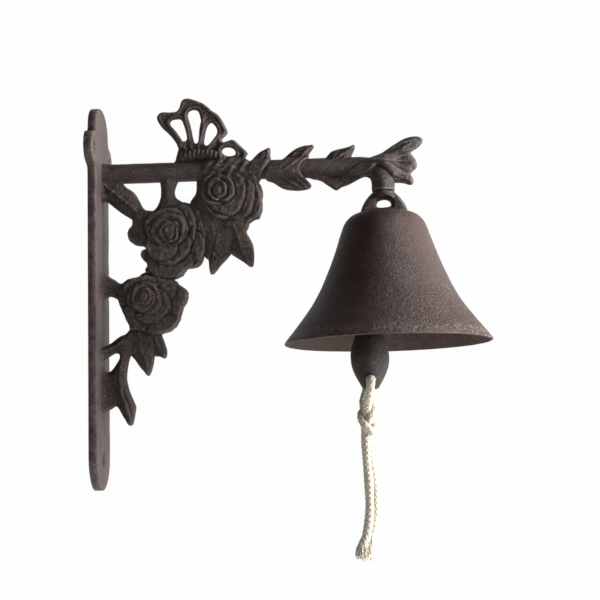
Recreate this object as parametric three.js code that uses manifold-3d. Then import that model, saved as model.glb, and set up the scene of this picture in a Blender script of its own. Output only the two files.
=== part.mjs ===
// Wall mounted bell: a cast bracket (wall plate, round arm, roses, leaves and a
// butterfly) with a bell hanging from the down-turned end of the arm, a clapper
// on a ring inside the bell, and a doubled pull rope through the clapper.
// Millimetres. X runs out of the wall, Z up, Y along the wall.
import * as THREE from "three";
import { mergeVertices } from "three/addons/utils/BufferGeometryUtils.js";
import Module from "manifold-3d";

const wasm = await Module();
wasm.setup();

// ---------------------------------------------------------------- dimensions
const GAP = 0.3; // between neighbouring solids
const MOUNT_Z = 100; // height of the mount point above the plate's lower end

const PLATE_T = 3.3; // front face of the plate
const PLATE_BACK = -1.2; // its back face
const PLATE_W = 36;
const PLATE_H = 201;
const PLATE_EAR_Z = 176;
const PLATE_EAR_Y = 20.5;
const PLATE_EAR_R = 8.6;
const SCREW_HOLE_D = 5.6;
const SCREW_EAR_Y = 21.5;
const SCREW_LOW_Z = 16;

const ARM_Z = 166;
const ARM_R = 5.1;
const ARM_END_X = 138.6;
const HOOK_R = 6.3;

const PIN_X = 151.8;
const PIN_Z = 156.8;
const PIN_R = 1.5;
const SLOT_HALF = 2.2;
const TONGUE_HALF = 1.85;
const FORK_LOW_Z = 152.7;

const BELL_X = PIN_X;
const CROWN_Z = 141;
const MOUTH_Z = 72.3;
const MOUTH_R = 54;

const CLAPPER_X = 142;
const STAPLE_Z = 130.2; // centre of the staple's cross bar
const STAPLE_WIRE_R = 1.5;
const RING_WIRE_R = 1.1;
const RING_H = 11.4; // centre line height of the ring
const RING_W = 7.2;
const EYE_R = 3.4; // centre line radius of the stem's eye
const BALL_TOP_Z = 92;
const BALL_R = 10;
const ROPE_HOLE_Z = 53.6;
const ROPE_HOLE_R = 2.7;

const ROPE_D = 4.5;
const ROPE_END_Z = -34;

// ------------------------------------------------------------------- helpers
function solid(geometry) {
  const g = geometry.clone();
  g.deleteAttribute("normal");
  g.deleteAttribute("uv");
  const merged = mergeVertices(g, 1e-4);
  const make = (tri) =>
    new wasm.Manifold(
      new wasm.Mesh({
        numProp: 3,
        vertProperties: new Float32Array(merged.attributes.position.array),
        triVerts: tri,
      }),
    );
  const index = merged.index.array;
  const kept = [];
  for (let i = 0; i < index.length; i += 3) {
    const [a, b, c] = [index[i], index[i + 1], index[i + 2]];
    if (a !== b && b !== c && c !== a) kept.push(a, b, c);
  }
  const tri = new Uint32Array(kept);
  let made = make(tri);
  if (made.volume() < 0) {
    for (let i = 0; i < tri.length; i += 3)
      [tri[i + 1], tri[i + 2]] = [tri[i + 2], tri[i + 1]];
    made = make(tri);
  }
  return made;
}

function geometryOf(manifold) {
  const m = manifold.getMesh();
  const n = m.numProp;
  const v = new Float32Array(m.numVert * 3);
  for (let i = 0; i < m.numVert; i++)
    v.set(m.vertProperties.subarray(i * n, i * n + 3), i * 3);
  const g = new THREE.BufferGeometry();
  g.setAttribute("position", new THREE.BufferAttribute(v, 3));
  g.setIndex(new THREE.BufferAttribute(new Uint32Array(m.triVerts), 1));
  g.computeVertexNormals();
  return g;
}

// the largest body only, so that a cut leaves no crumbs
function main(manifold) {
  const bodies = manifold.decompose();
  return bodies.reduce((a, b) => (b.volume() > a.volume() ? b : a));
}

function offsetOutline(points, d) {
  const n = points.length;
  let area = 0;
  points.forEach(([x, z], i) => {
    const [a, b] = points[(i + 1) % n];
    area += x * b - a * z;
  });
  const s = area > 0 ? 1 : -1;
  return points.map(([x, z], i) => {
    const [px, pz] = points[(i + n - 1) % n];
    const [nx, nz] = points[(i + 1) % n];
    const u = new THREE.Vector2(x - px, z - pz).normalize();
    const v = new THREE.Vector2(nx - x, nz - z).normalize();
    const m = new THREE.Vector2(s * (u.y + v.y), -s * (u.x + v.x));
    const k = Math.max(m.length() / 2, 0.5);
    m.normalize().multiplyScalar(d / k);
    return [x + m.x, z + m.y];
  });
}

// flat piece in the bracket's plane: outline in X and Z, thickness along Y
function slab(points, thickness, holes = []) {
  const shape = new THREE.Shape(points.map(([x, z]) => new THREE.Vector2(x, z)));
  const g = new THREE.ExtrudeGeometry(shape, {
    depth: thickness,
    bevelEnabled: false,
    steps: 1,
  });
  g.rotateX(Math.PI / 2);
  g.translate(0, thickness / 2, 0);
  let s = solid(g);
  for (const h of holes) s = s.subtract(slab(h, thickness + 2));
  return s;
}

// a disc with a domed front and back: elliptical in X and Z, axis along Y
function dome(cx, cz, rx, rz, half, segments = 28) {
  const p = [
    [0, -half],
    [0.5, -0.86 * half],
    [0.86, -0.6 * half],
    [1, -0.3 * half],
    [1, 0.3 * half],
    [0.86, 0.6 * half],
    [0.5, 0.86 * half],
    [0, half],
  ].map(([a, b]) => new THREE.Vector2(a, b));
  const g = new THREE.LatheGeometry(p, segments);
  g.scale(rx, 1, rz);
  g.translate(cx, 0, cz);
  return solid(g);
}

function rodX(x0, x1, r, y, z, segments = 24) {
  const g = new THREE.CylinderGeometry(r, r, x1 - x0, segments);
  g.rotateZ(Math.PI / 2);
  g.translate((x0 + x1) / 2, y, z);
  return solid(g);
}

function rodY(y0, y1, r, x, z, segments = 20) {
  const g = new THREE.CylinderGeometry(r, r, y1 - y0, segments);
  g.translate(x, (y0 + y1) / 2, z);
  return solid(g);
}

function box(x0, x1, y0, y1, z0, z1) {
  const g = new THREE.BoxGeometry(x1 - x0, y1 - y0, z1 - z0);
  g.translate((x0 + x1) / 2, (y0 + y1) / 2, (z0 + z1) / 2);
  return solid(g);
}

function roundSection(r, sides) {
  const s = new THREE.Shape();
  for (let i = 0; i < sides; i++) {
    const a = (2 * Math.PI * (i + 0.5)) / sides;
    const x = r * Math.cos(a);
    const y = r * Math.sin(a);
    if (i) s.lineTo(x, y);
    else s.moveTo(x, y);
  }
  s.closePath();
  return s;
}

function tube(points, r, sides, steps) {
  const path = new THREE.CatmullRomCurve3(
    points.map(([x, y, z]) => new THREE.Vector3(x, y, z)),
    false,
    "centripetal",
  );
  const g = new THREE.ExtrudeGeometry(roundSection(r, sides), {
    steps,
    bevelEnabled: false,
    extrudePath: path,
  });
  return solid(g);
}

function closedTube(points, r, sides, steps) {
  const path = new THREE.CatmullRomCurve3(
    points.map(([x, y, z]) => new THREE.Vector3(x, y, z)),
    true,
    "centripetal",
  );
  return solid(new THREE.TubeGeometry(path, steps, r, sides, true));
}

function lathe(profile, x, segments) {
  const g = new THREE.LatheGeometry(
    profile.map(([r, z]) => new THREE.Vector2(r, z)),
    segments,
  );
  g.rotateX(Math.PI / 2);
  g.translate(x, 0, 0);
  return solid(g);
}

// ----------------------------------------------------------------- materials
const iron = new THREE.MeshStandardMaterial({
  color: 0x4a3f3b,
  roughness: 0.62,
  metalness: 0.55,
});
const ironPlate = new THREE.MeshStandardMaterial({
  color: 0x5b4d47,
  roughness: 0.66,
  metalness: 0.5,
});
const ironBell = new THREE.MeshStandardMaterial({
  color: 0x51423c,
  roughness: 0.55,
  metalness: 0.6,
});
const wire = new THREE.MeshStandardMaterial({
  color: 0x453d39,
  roughness: 0.5,
  metalness: 0.75,
});
const cotton = new THREE.MeshStandardMaterial({
  color: 0xddd8c6,
  roughness: 0.95,
  metalness: 0,
});

const bracket = new THREE.Group();
const bell = new THREE.Group();
const clapper = new THREE.Group();
const rope = new THREE.Group();
const made = {};
function put(group, name, manifold, material) {
  const m = new THREE.Mesh(geometryOf(manifold), material);
  m.name = name;
  group.add(m);
  made[name] = manifold;
}

// --------------------------------------------------------------- wall plate
{
  const outline = [];
  const half = PLATE_W / 2;
  const N = 12;
  for (let i = 0; i <= N; i++) {
    const a = Math.PI + (Math.PI * i) / N;
    outline.push([half * Math.cos(a), half + half * Math.sin(a)]);
  }
  outline.push([half, PLATE_EAR_Z - PLATE_EAR_R - 3]);
  for (let i = 0; i <= 10; i++) {
    const a = -Math.PI / 2 + (Math.PI * i) / 10;
    outline.push([
      PLATE_EAR_Y + PLATE_EAR_R * Math.cos(a),
      PLATE_EAR_Z + PLATE_EAR_R * Math.sin(a),
    ]);
  }
  outline.push([half - 0.4, PLATE_EAR_Z + PLATE_EAR_R + 2]);
  const topZ = PLATE_EAR_Z + PLATE_EAR_R + 4;
  for (let i = 0; i <= N; i++) {
    const a = (Math.PI * i) / N;
    outline.push([
      (half - 1) * Math.cos(a),
      topZ + (PLATE_H - topZ) * Math.sin(a),
    ]);
  }
  outline.push([-half + 0.4, PLATE_EAR_Z + PLATE_EAR_R + 2]);
  for (let i = 0; i <= 10; i++) {
    const a = Math.PI / 2 + (Math.PI * i) / 10;
    outline.push([
      -PLATE_EAR_Y + PLATE_EAR_R * Math.cos(a),
      PLATE_EAR_Z + PLATE_EAR_R * Math.sin(a),
    ]);
  }
  outline.push([-half, PLATE_EAR_Z - PLATE_EAR_R - 3]);
  const shape = new THREE.Shape(outline.map(([y, z]) => new THREE.Vector2(y, z)));
  const bevel = 0.9;
  const g = new THREE.ExtrudeGeometry(shape, {
    depth: PLATE_T - PLATE_BACK - bevel,
    bevelEnabled: false,
    steps: 1,
  });
  // shape X, Y -> world Y, Z ; depth -> world X
  const m = new THREE.Matrix4().makeBasis(
    new THREE.Vector3(0, 1, 0),
    new THREE.Vector3(0, 0, 1),
    new THREE.Vector3(1, 0, 0),
  );
  g.applyMatrix4(m);
  g.translate(PLATE_BACK, 0, 0);
  const inner = new THREE.Shape(
    offsetOutline(outline, -bevel).map(([y, z]) => new THREE.Vector2(y, z)),
  );
  const g2 = new THREE.ExtrudeGeometry(inner, {
    depth: PLATE_T - PLATE_BACK,
    bevelEnabled: false,
    steps: 1,
  });
  g2.applyMatrix4(m);
  g2.translate(PLATE_BACK, 0, 0);
  let plate = solid(g).add(solid(g2));
  for (const [y, z] of [
    [-SCREW_EAR_Y, PLATE_EAR_Z],
    [SCREW_EAR_Y, PLATE_EAR_Z],
    [0, SCREW_LOW_Z],
  ])
    plate = plate.subtract(rodX(-2, PLATE_T + 2, SCREW_HOLE_D / 2, y, z, 20));
  put(bracket, "wall_plate", plate, ironPlate);
}
const FACE = PLATE_T + GAP;

// ---------------------------------------------------------------------- arm
const arm = rodX(FACE, ARM_END_X, ARM_R, 0, ARM_Z, 24);
const armGrown = rodX(FACE - 1, ARM_END_X + 1, ARM_R + GAP, 0, ARM_Z, 24);
put(bracket, "bracket_arm", arm, iron);

// the arm's down-turned end: a thick round hook, slotted at the bottom
const hookPath = [
  [ARM_END_X + GAP, 0, ARM_Z],
  [143.5, 0, ARM_Z - 0.5],
  [147.8, 0, ARM_Z - 2],
  [150.6, 0, 161.4],
  [151.7, 0, 158],
  [PIN_X, 0, FORK_LOW_Z],
];
let hook = tube(hookPath, HOOK_R - 0.6, 16, 10)
  .add(
    (() => {
      const g = new THREE.CylinderGeometry(HOOK_R, HOOK_R, 7, 24);
      g.rotateX(Math.PI / 2);
      g.translate(PIN_X, 0, FORK_LOW_Z + 3.5);
      return solid(g);
    })(),
  )
  .subtract(box(140, 165, -20, 20, 140, FORK_LOW_Z))
  .subtract(box(120, ARM_END_X + GAP, -20, 20, 140, 190))
  .subtract(box(140, 165, -SLOT_HALF, SLOT_HALF, 150, PIN_Z + 4.6))
  .subtract(rodY(-12, 12, PIN_R + GAP, PIN_X, PIN_Z));
hook = main(hook);
put(bracket, "arm_hook", hook, iron);
put(
  bracket,
  "hanger_pin",
  rodY(-HOOK_R + 0.1, HOOK_R - 0.1, PIN_R, PIN_X, PIN_Z),
  wire,
);

// ------------------------------------------------------- flowers and leaves
const WEB_T = 4.2; // leaves and stems
const taken = [armGrown];
// everything made so far is cut away with its gap
function place(name, made0, grown, thing = iron) {
  let s = made0;
  for (const t of taken) s = s.subtract(t);
  s = main(s);
  put(bracket, name, s, thing);
  taken.push(grown);
}
function placeDome(name, cx, cz, rx, rz, half) {
  place(
    name,
    dome(cx, cz, rx, rz, half),
    dome(cx, cz, rx + GAP + 0.15, rz + GAP + 0.15, half + GAP + 0.15),
  );
}
// the slab with a margin of d round its outline
function grownSlab(pts, t, d) {
  let s = slab(pts, t + 2 * GAP);
  pts.forEach(([x, z], i) => {
    const [nx, nz] = pts[(i + 1) % pts.length];
    const g = new THREE.BoxGeometry(
      Math.hypot(nx - x, nz - z) + 2 * d,
      t + 2 * GAP,
      2 * d,
    );
    g.rotateY(-Math.atan2(nz - z, nx - x));
    g.translate((x + nx) / 2, 0, (z + nz) / 2);
    s = s.add(solid(g));
  });
  return s;
}
function placeSlab(name, pts, t = WEB_T, holes = []) {
  place(name, slab(pts, t, holes), grownSlab(pts, t, GAP + 0.05));
}
placeDome("rose_upper", 72.6, 150.4, 15.8, 15, 7);
placeDome("rose_middle", 37, 128, 19.8, 18.6, 7.5);
placeDome("rose_lower", 29.6, 94.2, 18.4, 15.2, 7);

placeSlab("leaf_under_arm", [
  [FACE, 161.5], [14.2, 161.5], [16.3, 158.4], [20, 155.6], [22.6, 152.3],
  [24.2, 148.4], [26.3, 146], [34, 142], [28, 134], [19.3, 141.3],
  [14.6, 143.9], [10.9, 146.7], [6.7, 150.3], [FACE, 152.6],
]);
placeSlab("stem_to_middle_rose", [
  [34.4, 161.5], [33.8, 151.4], [32.1, 147.1], [30, 145.6], [34, 140],
  [46, 140], [46, 150], [42.8, 151.1], [41.2, 153.8], [43.4, 161.5],
]);
placeSlab("leaf_between_roses", [
  [53.2, 161], [52.9, 155.1], [50.2, 150.3], [48.1, 149.1], [45.4, 150.4],
  [44, 146], [50, 140], [54, 128], [56, 119.6], [58.8, 119.9], [63, 128],
  [69.5, 133.2], [79.3, 134.2], [82.8, 138.6], [80, 146], [60, 150],
  [58, 161],
]);
placeSlab("leaf_tip_left", [
  [70.6, 120.9], [66, 115.7], [62.3, 111.3], [60.4, 110.5], [59.7, 112.1],
  [59.1, 117.5], [58.9, 119.6], [63.2, 127.7], [69.4, 132.6],
]);
placeSlab("leaf_tip_right", [
  [79.3, 133.7], [80.5, 129.6], [82.5, 125.8], [83.2, 118.9], [82.6, 114.7],
  [81.5, 113.9], [76.1, 117.8], [71.2, 121.2], [70, 132.8],
]);
placeSlab("stem_to_plate_upper", [
  [FACE, 112.8], [7.4, 111.2], [13.8, 107.6], [16.4, 109.4], [21.7, 110.6],
  [24, 113.4], [34, 112], [28, 100], [14.3, 100.7], [11.1, 98.7],
  [7.4, 100.4], [FACE, 102.6],
]);
placeSlab("leaf_low_right", [
  [34.3, 79.1], [35.6, 75.4], [36.8, 71.2], [36.5, 68.6], [35.5, 67.3],
  [32.9, 68.2], [30.7, 68.5], [29.6, 74], [28.8, 82], [33, 84],
]);
placeSlab("leaf_low_middle", [
  [30.3, 68.5], [29.7, 65.1], [28.6, 61], [27, 58.4], [25.5, 59.8],
  [21.9, 63.8], [18.8, 68.3], [17.6, 71], [17.4, 82.7], [22, 86], [29, 84],
]);
placeSlab("stem_to_plate_lower", [
  [FACE, 74.6], [7.8, 76.2], [12, 79.2], [17.1, 82.4], [17.1, 71.6],
  [12.4, 70.7], [9.9, 70.7], [7.8, 69.9], [FACE, 67.6],
]);
placeSlab("leaf_tail", [
  [12.2, 70.3], [11.9, 68.2], [8.2, 62.6], [FACE, 61], [FACE, 42.6],
  [8.1, 42.1], [9.7, 43], [10.7, 42.2], [11.7, 39.6], [13.8, 36],
  [15.9, 33.3], [17.9, 32.8], [19, 33.8], [19.8, 38.4], [20.4, 41.5],
  [19.6, 45.1], [17.6, 48.8], [16.5, 52.5], [15.8, 56.6], [15.8, 60.8],
  [16.6, 65], [17.3, 68.1], [17.2, 71.2],
]);

// butterfly on top of the arm, with the openings of its wings
placeSlab(
  "butterfly",
  [
    [32.6, 195.9], [34.5, 198.6], [39.6, 198.8], [43.2, 198.9], [45, 202.1],
    [47.2, 205.9], [49.4, 206.1], [53.1, 204.8], [57.1, 203.1], [61, 199.9],
    [65.1, 197.1], [67.3, 193.7], [69.3, 190], [70.4, 186.5], [67.2, 182.5],
    [68.2, 181.5], [72, 182.9], [74.6, 182.3], [80.8, 174.9], [79.6, 172.6],
    [81.3, 170], [81, 166], [42, 166], [41.4, 172], [42.5, 174.9],
    [43.9, 179.2], [41.6, 183.6], [37.8, 188.1], [34.2, 192],
  ],
  4.4,
  [
    [[44.9, 194.5], [46.5, 193.3], [47.8, 188.3], [48.5, 183.9], [47.7, 182.6], [46.1, 182.9], [43.8, 186.8], [40.1, 191.3], [39.8, 193.5], [41.2, 194.5]],
    [[51.4, 199.4], [54.1, 199.2], [55.4, 196.8], [56.1, 193.5], [55.3, 188.6], [54.6, 182.1], [53.3, 181.2], [52.2, 182.2], [51, 188.8], [49.2, 194.8], [49.5, 198.1]],
    [[61.7, 192.2], [63.8, 190], [64.6, 187.2], [63.5, 184.6], [60.7, 181.4], [59.1, 180.1], [57.8, 180.9], [57.8, 183.1], [58.7, 187.4], [60.1, 191.2]],
    [[70.6, 178.5], [73.1, 177.8], [74.1, 176.1], [73.1, 174.6], [70.6, 174], [68.2, 174.6], [67.2, 176.1], [68.2, 177.8]],
  ],
);

// leaves lying along the arm
placeSlab("arm_leaf_by_butterfly", [
  [82, 166], [82, 170.9], [84.5, 173.3], [88.3, 176.2], [92.3, 177.9],
  [92.7, 172.2], [92, 166],
]);
placeSlab("arm_leaf_inner_top", [
  [97, 166], [98.3, 170.4], [103.1, 174.6], [106.4, 176.9], [110.1, 178.5],
  [115.4, 178.7], [116.1, 177.5], [113.2, 173.2], [113.6, 170.5], [113, 166],
]);
placeSlab("arm_leaf_inner_low", [
  [91, 166], [93.2, 159], [97.9, 156.1], [101.1, 154.7], [107.9, 154],
  [112.7, 154.9], [114.1, 156.5], [112.6, 159.7], [111, 166],
]);
placeSlab("arm_leaf_outer_top", [
  [120, 166], [121, 170.5], [124.3, 174.5], [127.5, 175.5], [132.8, 176.6],
  [137.4, 178.2], [137.6, 175.7], [135.6, 172], [136.4, 170.6], [135, 166],
]);
placeSlab("arm_leaf_outer_low", [
  [113, 166], [114.9, 160.2], [119.7, 158.7], [123.8, 155.6],
  [126.9, 153.5], [129.6, 155.2], [134.4, 156.6], [138, 158.6], [138, 166],
]);
// spray of three leaves at the end of the arm, beside the hook
{
  const grownHook = tube(hookPath, HOOK_R - 0.6 + GAP + 0.1, 16, 10).add(
    (() => {
      const g = new THREE.CylinderGeometry(
        HOOK_R + GAP + 0.1,
        HOOK_R + GAP + 0.1,
        8,
        24,
      );
      g.rotateX(Math.PI / 2);
      g.translate(PIN_X, 0, FORK_LOW_Z + 3.7);
      return solid(g);
    })(),
  );
  taken.push(grownHook);
}
placeSlab("end_leaf_top", [
  [143, 169.4], [144.3, 171.4], [150.7, 173.4], [157.2, 177.2],
  [162.6, 180.9], [166.8, 182.1], [170, 182.3], [172.6, 181.3],
  [173.6, 179.7], [171.9, 177.3], [169.2, 175.2], [166.8, 173.7],
  [158, 170.6], [150, 167],
], 4.6);
placeSlab("end_leaf_middle", [
  [150, 166.6], [158, 170.2], [166.9, 173.3], [168, 171.2], [169.8, 168.5],
  [169.8, 165.8], [168, 163.7], [166.7, 162.4], [158, 161.6], [154, 163],
], 4.6);
placeSlab("end_leaf_low", [
  [157, 161.2], [166.7, 162], [167.1, 159.9], [168.1, 158.3], [167.5, 156.2],
  [164.9, 156.5], [161.8, 157.3], [159, 157.7], [156, 160],
], 4.6);

// --------------------------------------------------------------------- bell
const outer = [
  [0, CROWN_Z], [9, 141], [14.6, 140.2], [18, 138.5], [20.4, 136.3],
  [21.7, 134], [22.4, 132], [24.5, 126], [27.3, 117.5], [30.7, 109],
  [34.5, 100.5], [39.3, 92.2], [45.4, 84], [50.2, 78], [MOUTH_R, 73],
  [53.9, MOUTH_Z],
];
const inner = [
  [52.6, MOUTH_Z], [48.3, 76.7], [43, 82.9], [36.7, 91], [31.9, 99.4],
  [28.1, 108], [24.7, 116.6], [21.9, 125.1], [19.6, 131.6], [17, 134.6],
  [12, 136.2], [0, 136.6],
];
put(bell, "bell_shell", lathe([...outer, ...inner], BELL_X, 40), ironBell);

// crown loop: a thick cast handle with a small window and a tongue for the pin
{
  const z0 = CROWN_Z + GAP;
  const half = (s) => [
    [12.4 * s, z0], [11.4 * s, 144], [9.6 * s, 147.4], [7.6 * s, 150.2],
    [6.3 * s, 151.6], [4.4 * s, FORK_LOW_Z - 0.8],
    [4 * s, FORK_LOW_Z - 0.8],
  ];
  const right = half(1).map(([x, z]) => [x + PIN_X, z]);
  const left = half(-1)
    .map(([x, z]) => [x + PIN_X, z])
    .reverse();
  const body = slab([...right, ...left], 8.6, [
    [
      [-3.6, 143.6], [3.6, 143.6], [3.6, 145.6], [2.9, 147.1], [1.5, 148.1],
      [0, 148.4], [-1.5, 148.1], [-2.9, 147.1], [-3.6, 145.6],
    ].map(([x, z]) => [x + PIN_X, z]),
  ]);
  const tip = [];
  for (let i = 0; i <= 12; i++) {
    const a = (Math.PI * i) / 12;
    tip.push([PIN_X + 4 * Math.cos(a), PIN_Z + 4 * Math.sin(a)]);
  }
  const tongue = slab(
    [...tip, [PIN_X - 4, 151], [PIN_X + 4, 151]],
    2 * TONGUE_HALF,
  );
  put(
    bell,
    "crown_loop",
    body.add(tongue).subtract(rodY(-10, 10, PIN_R + GAP, PIN_X, PIN_Z)),
    ironBell,
  );
}

// staple under the crown: two legs and a level bar for the clapper ring
{
  const top = 136.6 - GAP - 0.15;
  const x0 = CLAPPER_X - 3.4;
  const x1 = 2 * BELL_X - x0;
  const zb = STAPLE_Z;
  put(
    bell,
    "clapper_staple",
    tube(
      [
        [x0 - 0.2, 0, top - 0.8], [x0 - 0.1, 0, zb + 2.6], [x0 + 0.6, 0, zb + 0.8],
        [x0 + 2.4, 0, zb], [BELL_X, 0, zb], [x1 - 2.4, 0, zb],
        [x1 - 0.6, 0, zb + 0.8], [x1 + 0.1, 0, zb + 2.6], [x1 + 0.2, 0, top - 0.8],
      ],
      STAPLE_WIRE_R,
      10,
      28,
    ),
    wire,
  );
}

// ------------------------------------------------------------------ clapper
// ring in the YZ plane over the staple bar
const RING_TOP_Z = STAPLE_Z + STAPLE_WIRE_R + RING_WIRE_R + GAP;
const RING_LOW_Z = RING_TOP_Z - RING_H;
{
  const w = RING_W / 2;
  const zt = RING_TOP_Z;
  const zl = RING_LOW_Z;
  const pts = [];
  for (let i = 0; i < 8; i++) {
    const a = (Math.PI * i) / 8;
    pts.push([CLAPPER_X, w * Math.cos(a), zt - w + w * Math.sin(a)]);
  }
  for (let i = 0; i < 8; i++) {
    const a = Math.PI + (Math.PI * i) / 8;
    pts.push([CLAPPER_X, w * Math.cos(a), zl + w + w * Math.sin(a)]);
  }
  put(clapper, "clapper_ring", closedTube(pts, RING_WIRE_R, 8, 36), wire);
}
// stem: a wire with an eye in the XZ plane that hangs in the ring
const EYE_Z = RING_LOW_Z + RING_WIRE_R + GAP + 1.2 - EYE_R;
{
  const eye = [];
  for (let i = 0; i < 12; i++) {
    const a = (2 * Math.PI * i) / 12;
    eye.push([CLAPPER_X + EYE_R * Math.cos(a), 0, EYE_Z + EYE_R * Math.sin(a)]);
  }
  const rod = tube(
    [
      [CLAPPER_X, 0, EYE_Z - EYE_R + 0.4], [CLAPPER_X, 0, EYE_Z - EYE_R - 6],
      [CLAPPER_X, 0, BALL_TOP_Z + GAP],
    ],
    1.35,
    10,
    6,
  );
  put(
    clapper,
    "clapper_stem",
    closedTube(eye, 1.2, 8, 28).add(rod),
    wire,
  );
}
{
  const profile = [
    [0, BALL_TOP_Z], [3.6, BALL_TOP_Z], [4.2, 89], [5.2, 84], [7, 78],
    [8.8, 72.5], [9.8, 68], [BALL_R, 64.5], [9.7, 60.8], [8.6, 57.2],
    [7.2, 53.8], [5.6, 50.4], [4.2, 48.8], [0, 48.8],
  ];
  put(
    clapper,
    "clapper_ball",
    lathe(profile, CLAPPER_X, 28).subtract(
      rodY(-20, 20, ROPE_HOLE_R, CLAPPER_X, ROPE_HOLE_Z),
    ),
    ironBell,
  );
}

// --------------------------------------------------------------------- rope
// one doubled cord through the clapper, its two halves knotted together below
const R = ROPE_D / 2;
const frontTop = [
  [CLAPPER_X, -0.4, ROPE_HOLE_Z], [CLAPPER_X, -5, ROPE_HOLE_Z],
  [CLAPPER_X, -8.4, ROPE_HOLE_Z - 1.2], [CLAPPER_X - 0.2, -9.8, ROPE_HOLE_Z - 5],
  [CLAPPER_X - 0.8, -7.6, 44], [CLAPPER_X - 1.2, -4.4, 41.4],
];
const backTop = [
  [CLAPPER_X, 0.4, ROPE_HOLE_Z], [CLAPPER_X, 5, ROPE_HOLE_Z],
  [CLAPPER_X - 0.3, 8.4, ROPE_HOLE_Z - 1.2],
  [CLAPPER_X - 1.4, 9.6, ROPE_HOLE_Z - 5], [CLAPPER_X - 2.6, 6.6, 44],
  [CLAPPER_X - 2.8, 3.4, 41.4],
];
const KNOT_TOP = 39.6;
const KNOT_LOW = 24;
put(rope, "rope_loop_front", tube(frontTop, R, 10, 10), cotton);
put(rope, "rope_loop_back", tube(backTop, R, 10, 10), cotton);
{
  const p = [
    [0, KNOT_LOW], [2.6, KNOT_LOW], [4.4, 26.4], [5.3, 30], [5.3, 33.6],
    [4.4, 37.2], [2.6, KNOT_TOP], [0, KNOT_TOP],
  ];
  put(rope, "rope_knot", lathe(p, CLAPPER_X - 1.6, 18), cotton);
}
put(
  rope,
  "rope_tail_front",
  tube(
    [
      [CLAPPER_X - 0.8, -2.5, KNOT_LOW - GAP - 0.6], [CLAPPER_X - 0.2, -2.6, 12],
      [CLAPPER_X + 0.3, -2.6, -2], [CLAPPER_X - 0.4, -2.6, -16],
      [CLAPPER_X - 2.8, -2.6, -27], [CLAPPER_X - 5.6, -2.6, ROPE_END_Z],
    ],
    R,
    10,
    16,
  ),
  cotton,
);
put(
  rope,
  "rope_tail_back",
  tube(
    [
      [CLAPPER_X - 2.8, 2.5, KNOT_LOW - GAP - 0.6], [CLAPPER_X - 2.8, 2.6, 12],
      [CLAPPER_X - 2.8, 2.6, -2], [CLAPPER_X - 3.2, 2.6, -16],
      [CLAPPER_X - 5.2, 2.6, -27], [CLAPPER_X - 7.6, 2.6, ROPE_END_Z],
    ],
    R,
    10,
    16,
  ),
  cotton,
);

// -------------------------------------------------------------------- model
const root = new THREE.Group();
const inPlace = new THREE.Group(); // puts the mount point on the plate's back at the origin
inPlace.position.set(-PLATE_BACK, 0, -MOUNT_Z);
inPlace.add(bracket, bell, clapper, rope);
root.add(inPlace);
export default root;
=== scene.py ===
"""Looks for the wall bell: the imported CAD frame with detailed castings, rope and materials around it."""
import math
import random

import bpy
import numpy as np
from mathutils import Matrix, Vector, noise
from mathutils.geometry import delaunay_2d_cdt


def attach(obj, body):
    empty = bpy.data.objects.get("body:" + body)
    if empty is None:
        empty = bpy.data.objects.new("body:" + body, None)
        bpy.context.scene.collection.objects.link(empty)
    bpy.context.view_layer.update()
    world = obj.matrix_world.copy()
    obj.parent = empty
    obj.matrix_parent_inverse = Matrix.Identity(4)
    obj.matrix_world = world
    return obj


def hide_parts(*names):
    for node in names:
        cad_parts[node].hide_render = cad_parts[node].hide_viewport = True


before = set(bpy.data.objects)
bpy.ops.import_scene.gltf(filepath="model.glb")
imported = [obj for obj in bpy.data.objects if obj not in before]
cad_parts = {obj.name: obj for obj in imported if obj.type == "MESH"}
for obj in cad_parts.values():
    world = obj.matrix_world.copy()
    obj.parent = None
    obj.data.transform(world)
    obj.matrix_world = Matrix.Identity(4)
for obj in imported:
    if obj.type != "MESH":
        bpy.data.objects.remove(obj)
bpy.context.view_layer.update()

scene = bpy.context.scene
scene.view_settings.view_transform = "Standard"
scene.view_settings.look = "None"

# Lengths below are in millimetres, with z counted from the lower end of the wall plate. The frame's
# origin is 100 mm above that end.
Z0 = 100.0
X0 = 1.2  # the plate's back face is this far behind the datum of the x values below


def to_frame(points):
    p = np.array(points, float).reshape(-1, 3) * 0.001
    p[:, 0] += X0 * 0.001
    p[:, 2] -= Z0 * 0.001
    return p


def at(x, y, z):
    return Vector(((x + X0) * 0.001, y * 0.001, (z - Z0) * 0.001))


# ------------------------------------------------------------------------------------ camera
def add_camera():
    az, el, roll = math.radians(1.54), math.radians(-7.0), math.radians(-1.4)
    back = Vector((math.sin(az) * math.cos(el), -math.cos(az) * math.cos(el), math.sin(el)))
    right = Vector((math.cos(az), math.sin(az), 0))
    up = back.cross(right)
    r = right * math.cos(roll) + up * math.sin(roll)
    u = up * math.cos(roll) - right * math.sin(roll)
    data = bpy.data.cameras.new("camera")
    data.lens = 75.3
    data.sensor_width = 36
    data.clip_start, data.clip_end = 0.01, 20
    cam = bpy.data.objects.new("camera", data)
    scene.collection.objects.link(cam)
    m = Matrix((r, u, back)).transposed().to_4x4()
    m.translation = at(124.0, -650.0, 16.2)
    cam.matrix_world = m
    scene.camera = cam


add_camera()


# ------------------------------------------------------------------------------------ mesh tools
def wobble(p, amplitude, size, seed=0.0):
    """Casting unevenness: each point moves by smooth noise of that amplitude and feature size."""
    if not amplitude:
        return p
    out = p.copy()
    for i, (x, y, z) in enumerate(p):
        v = noise.noise_vector(Vector((x / size + seed, y / size, z / size)))
        out[i] = (x + amplitude * v.x, y + amplitude * v.y, z + amplitude * v.z)
    return out


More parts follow.
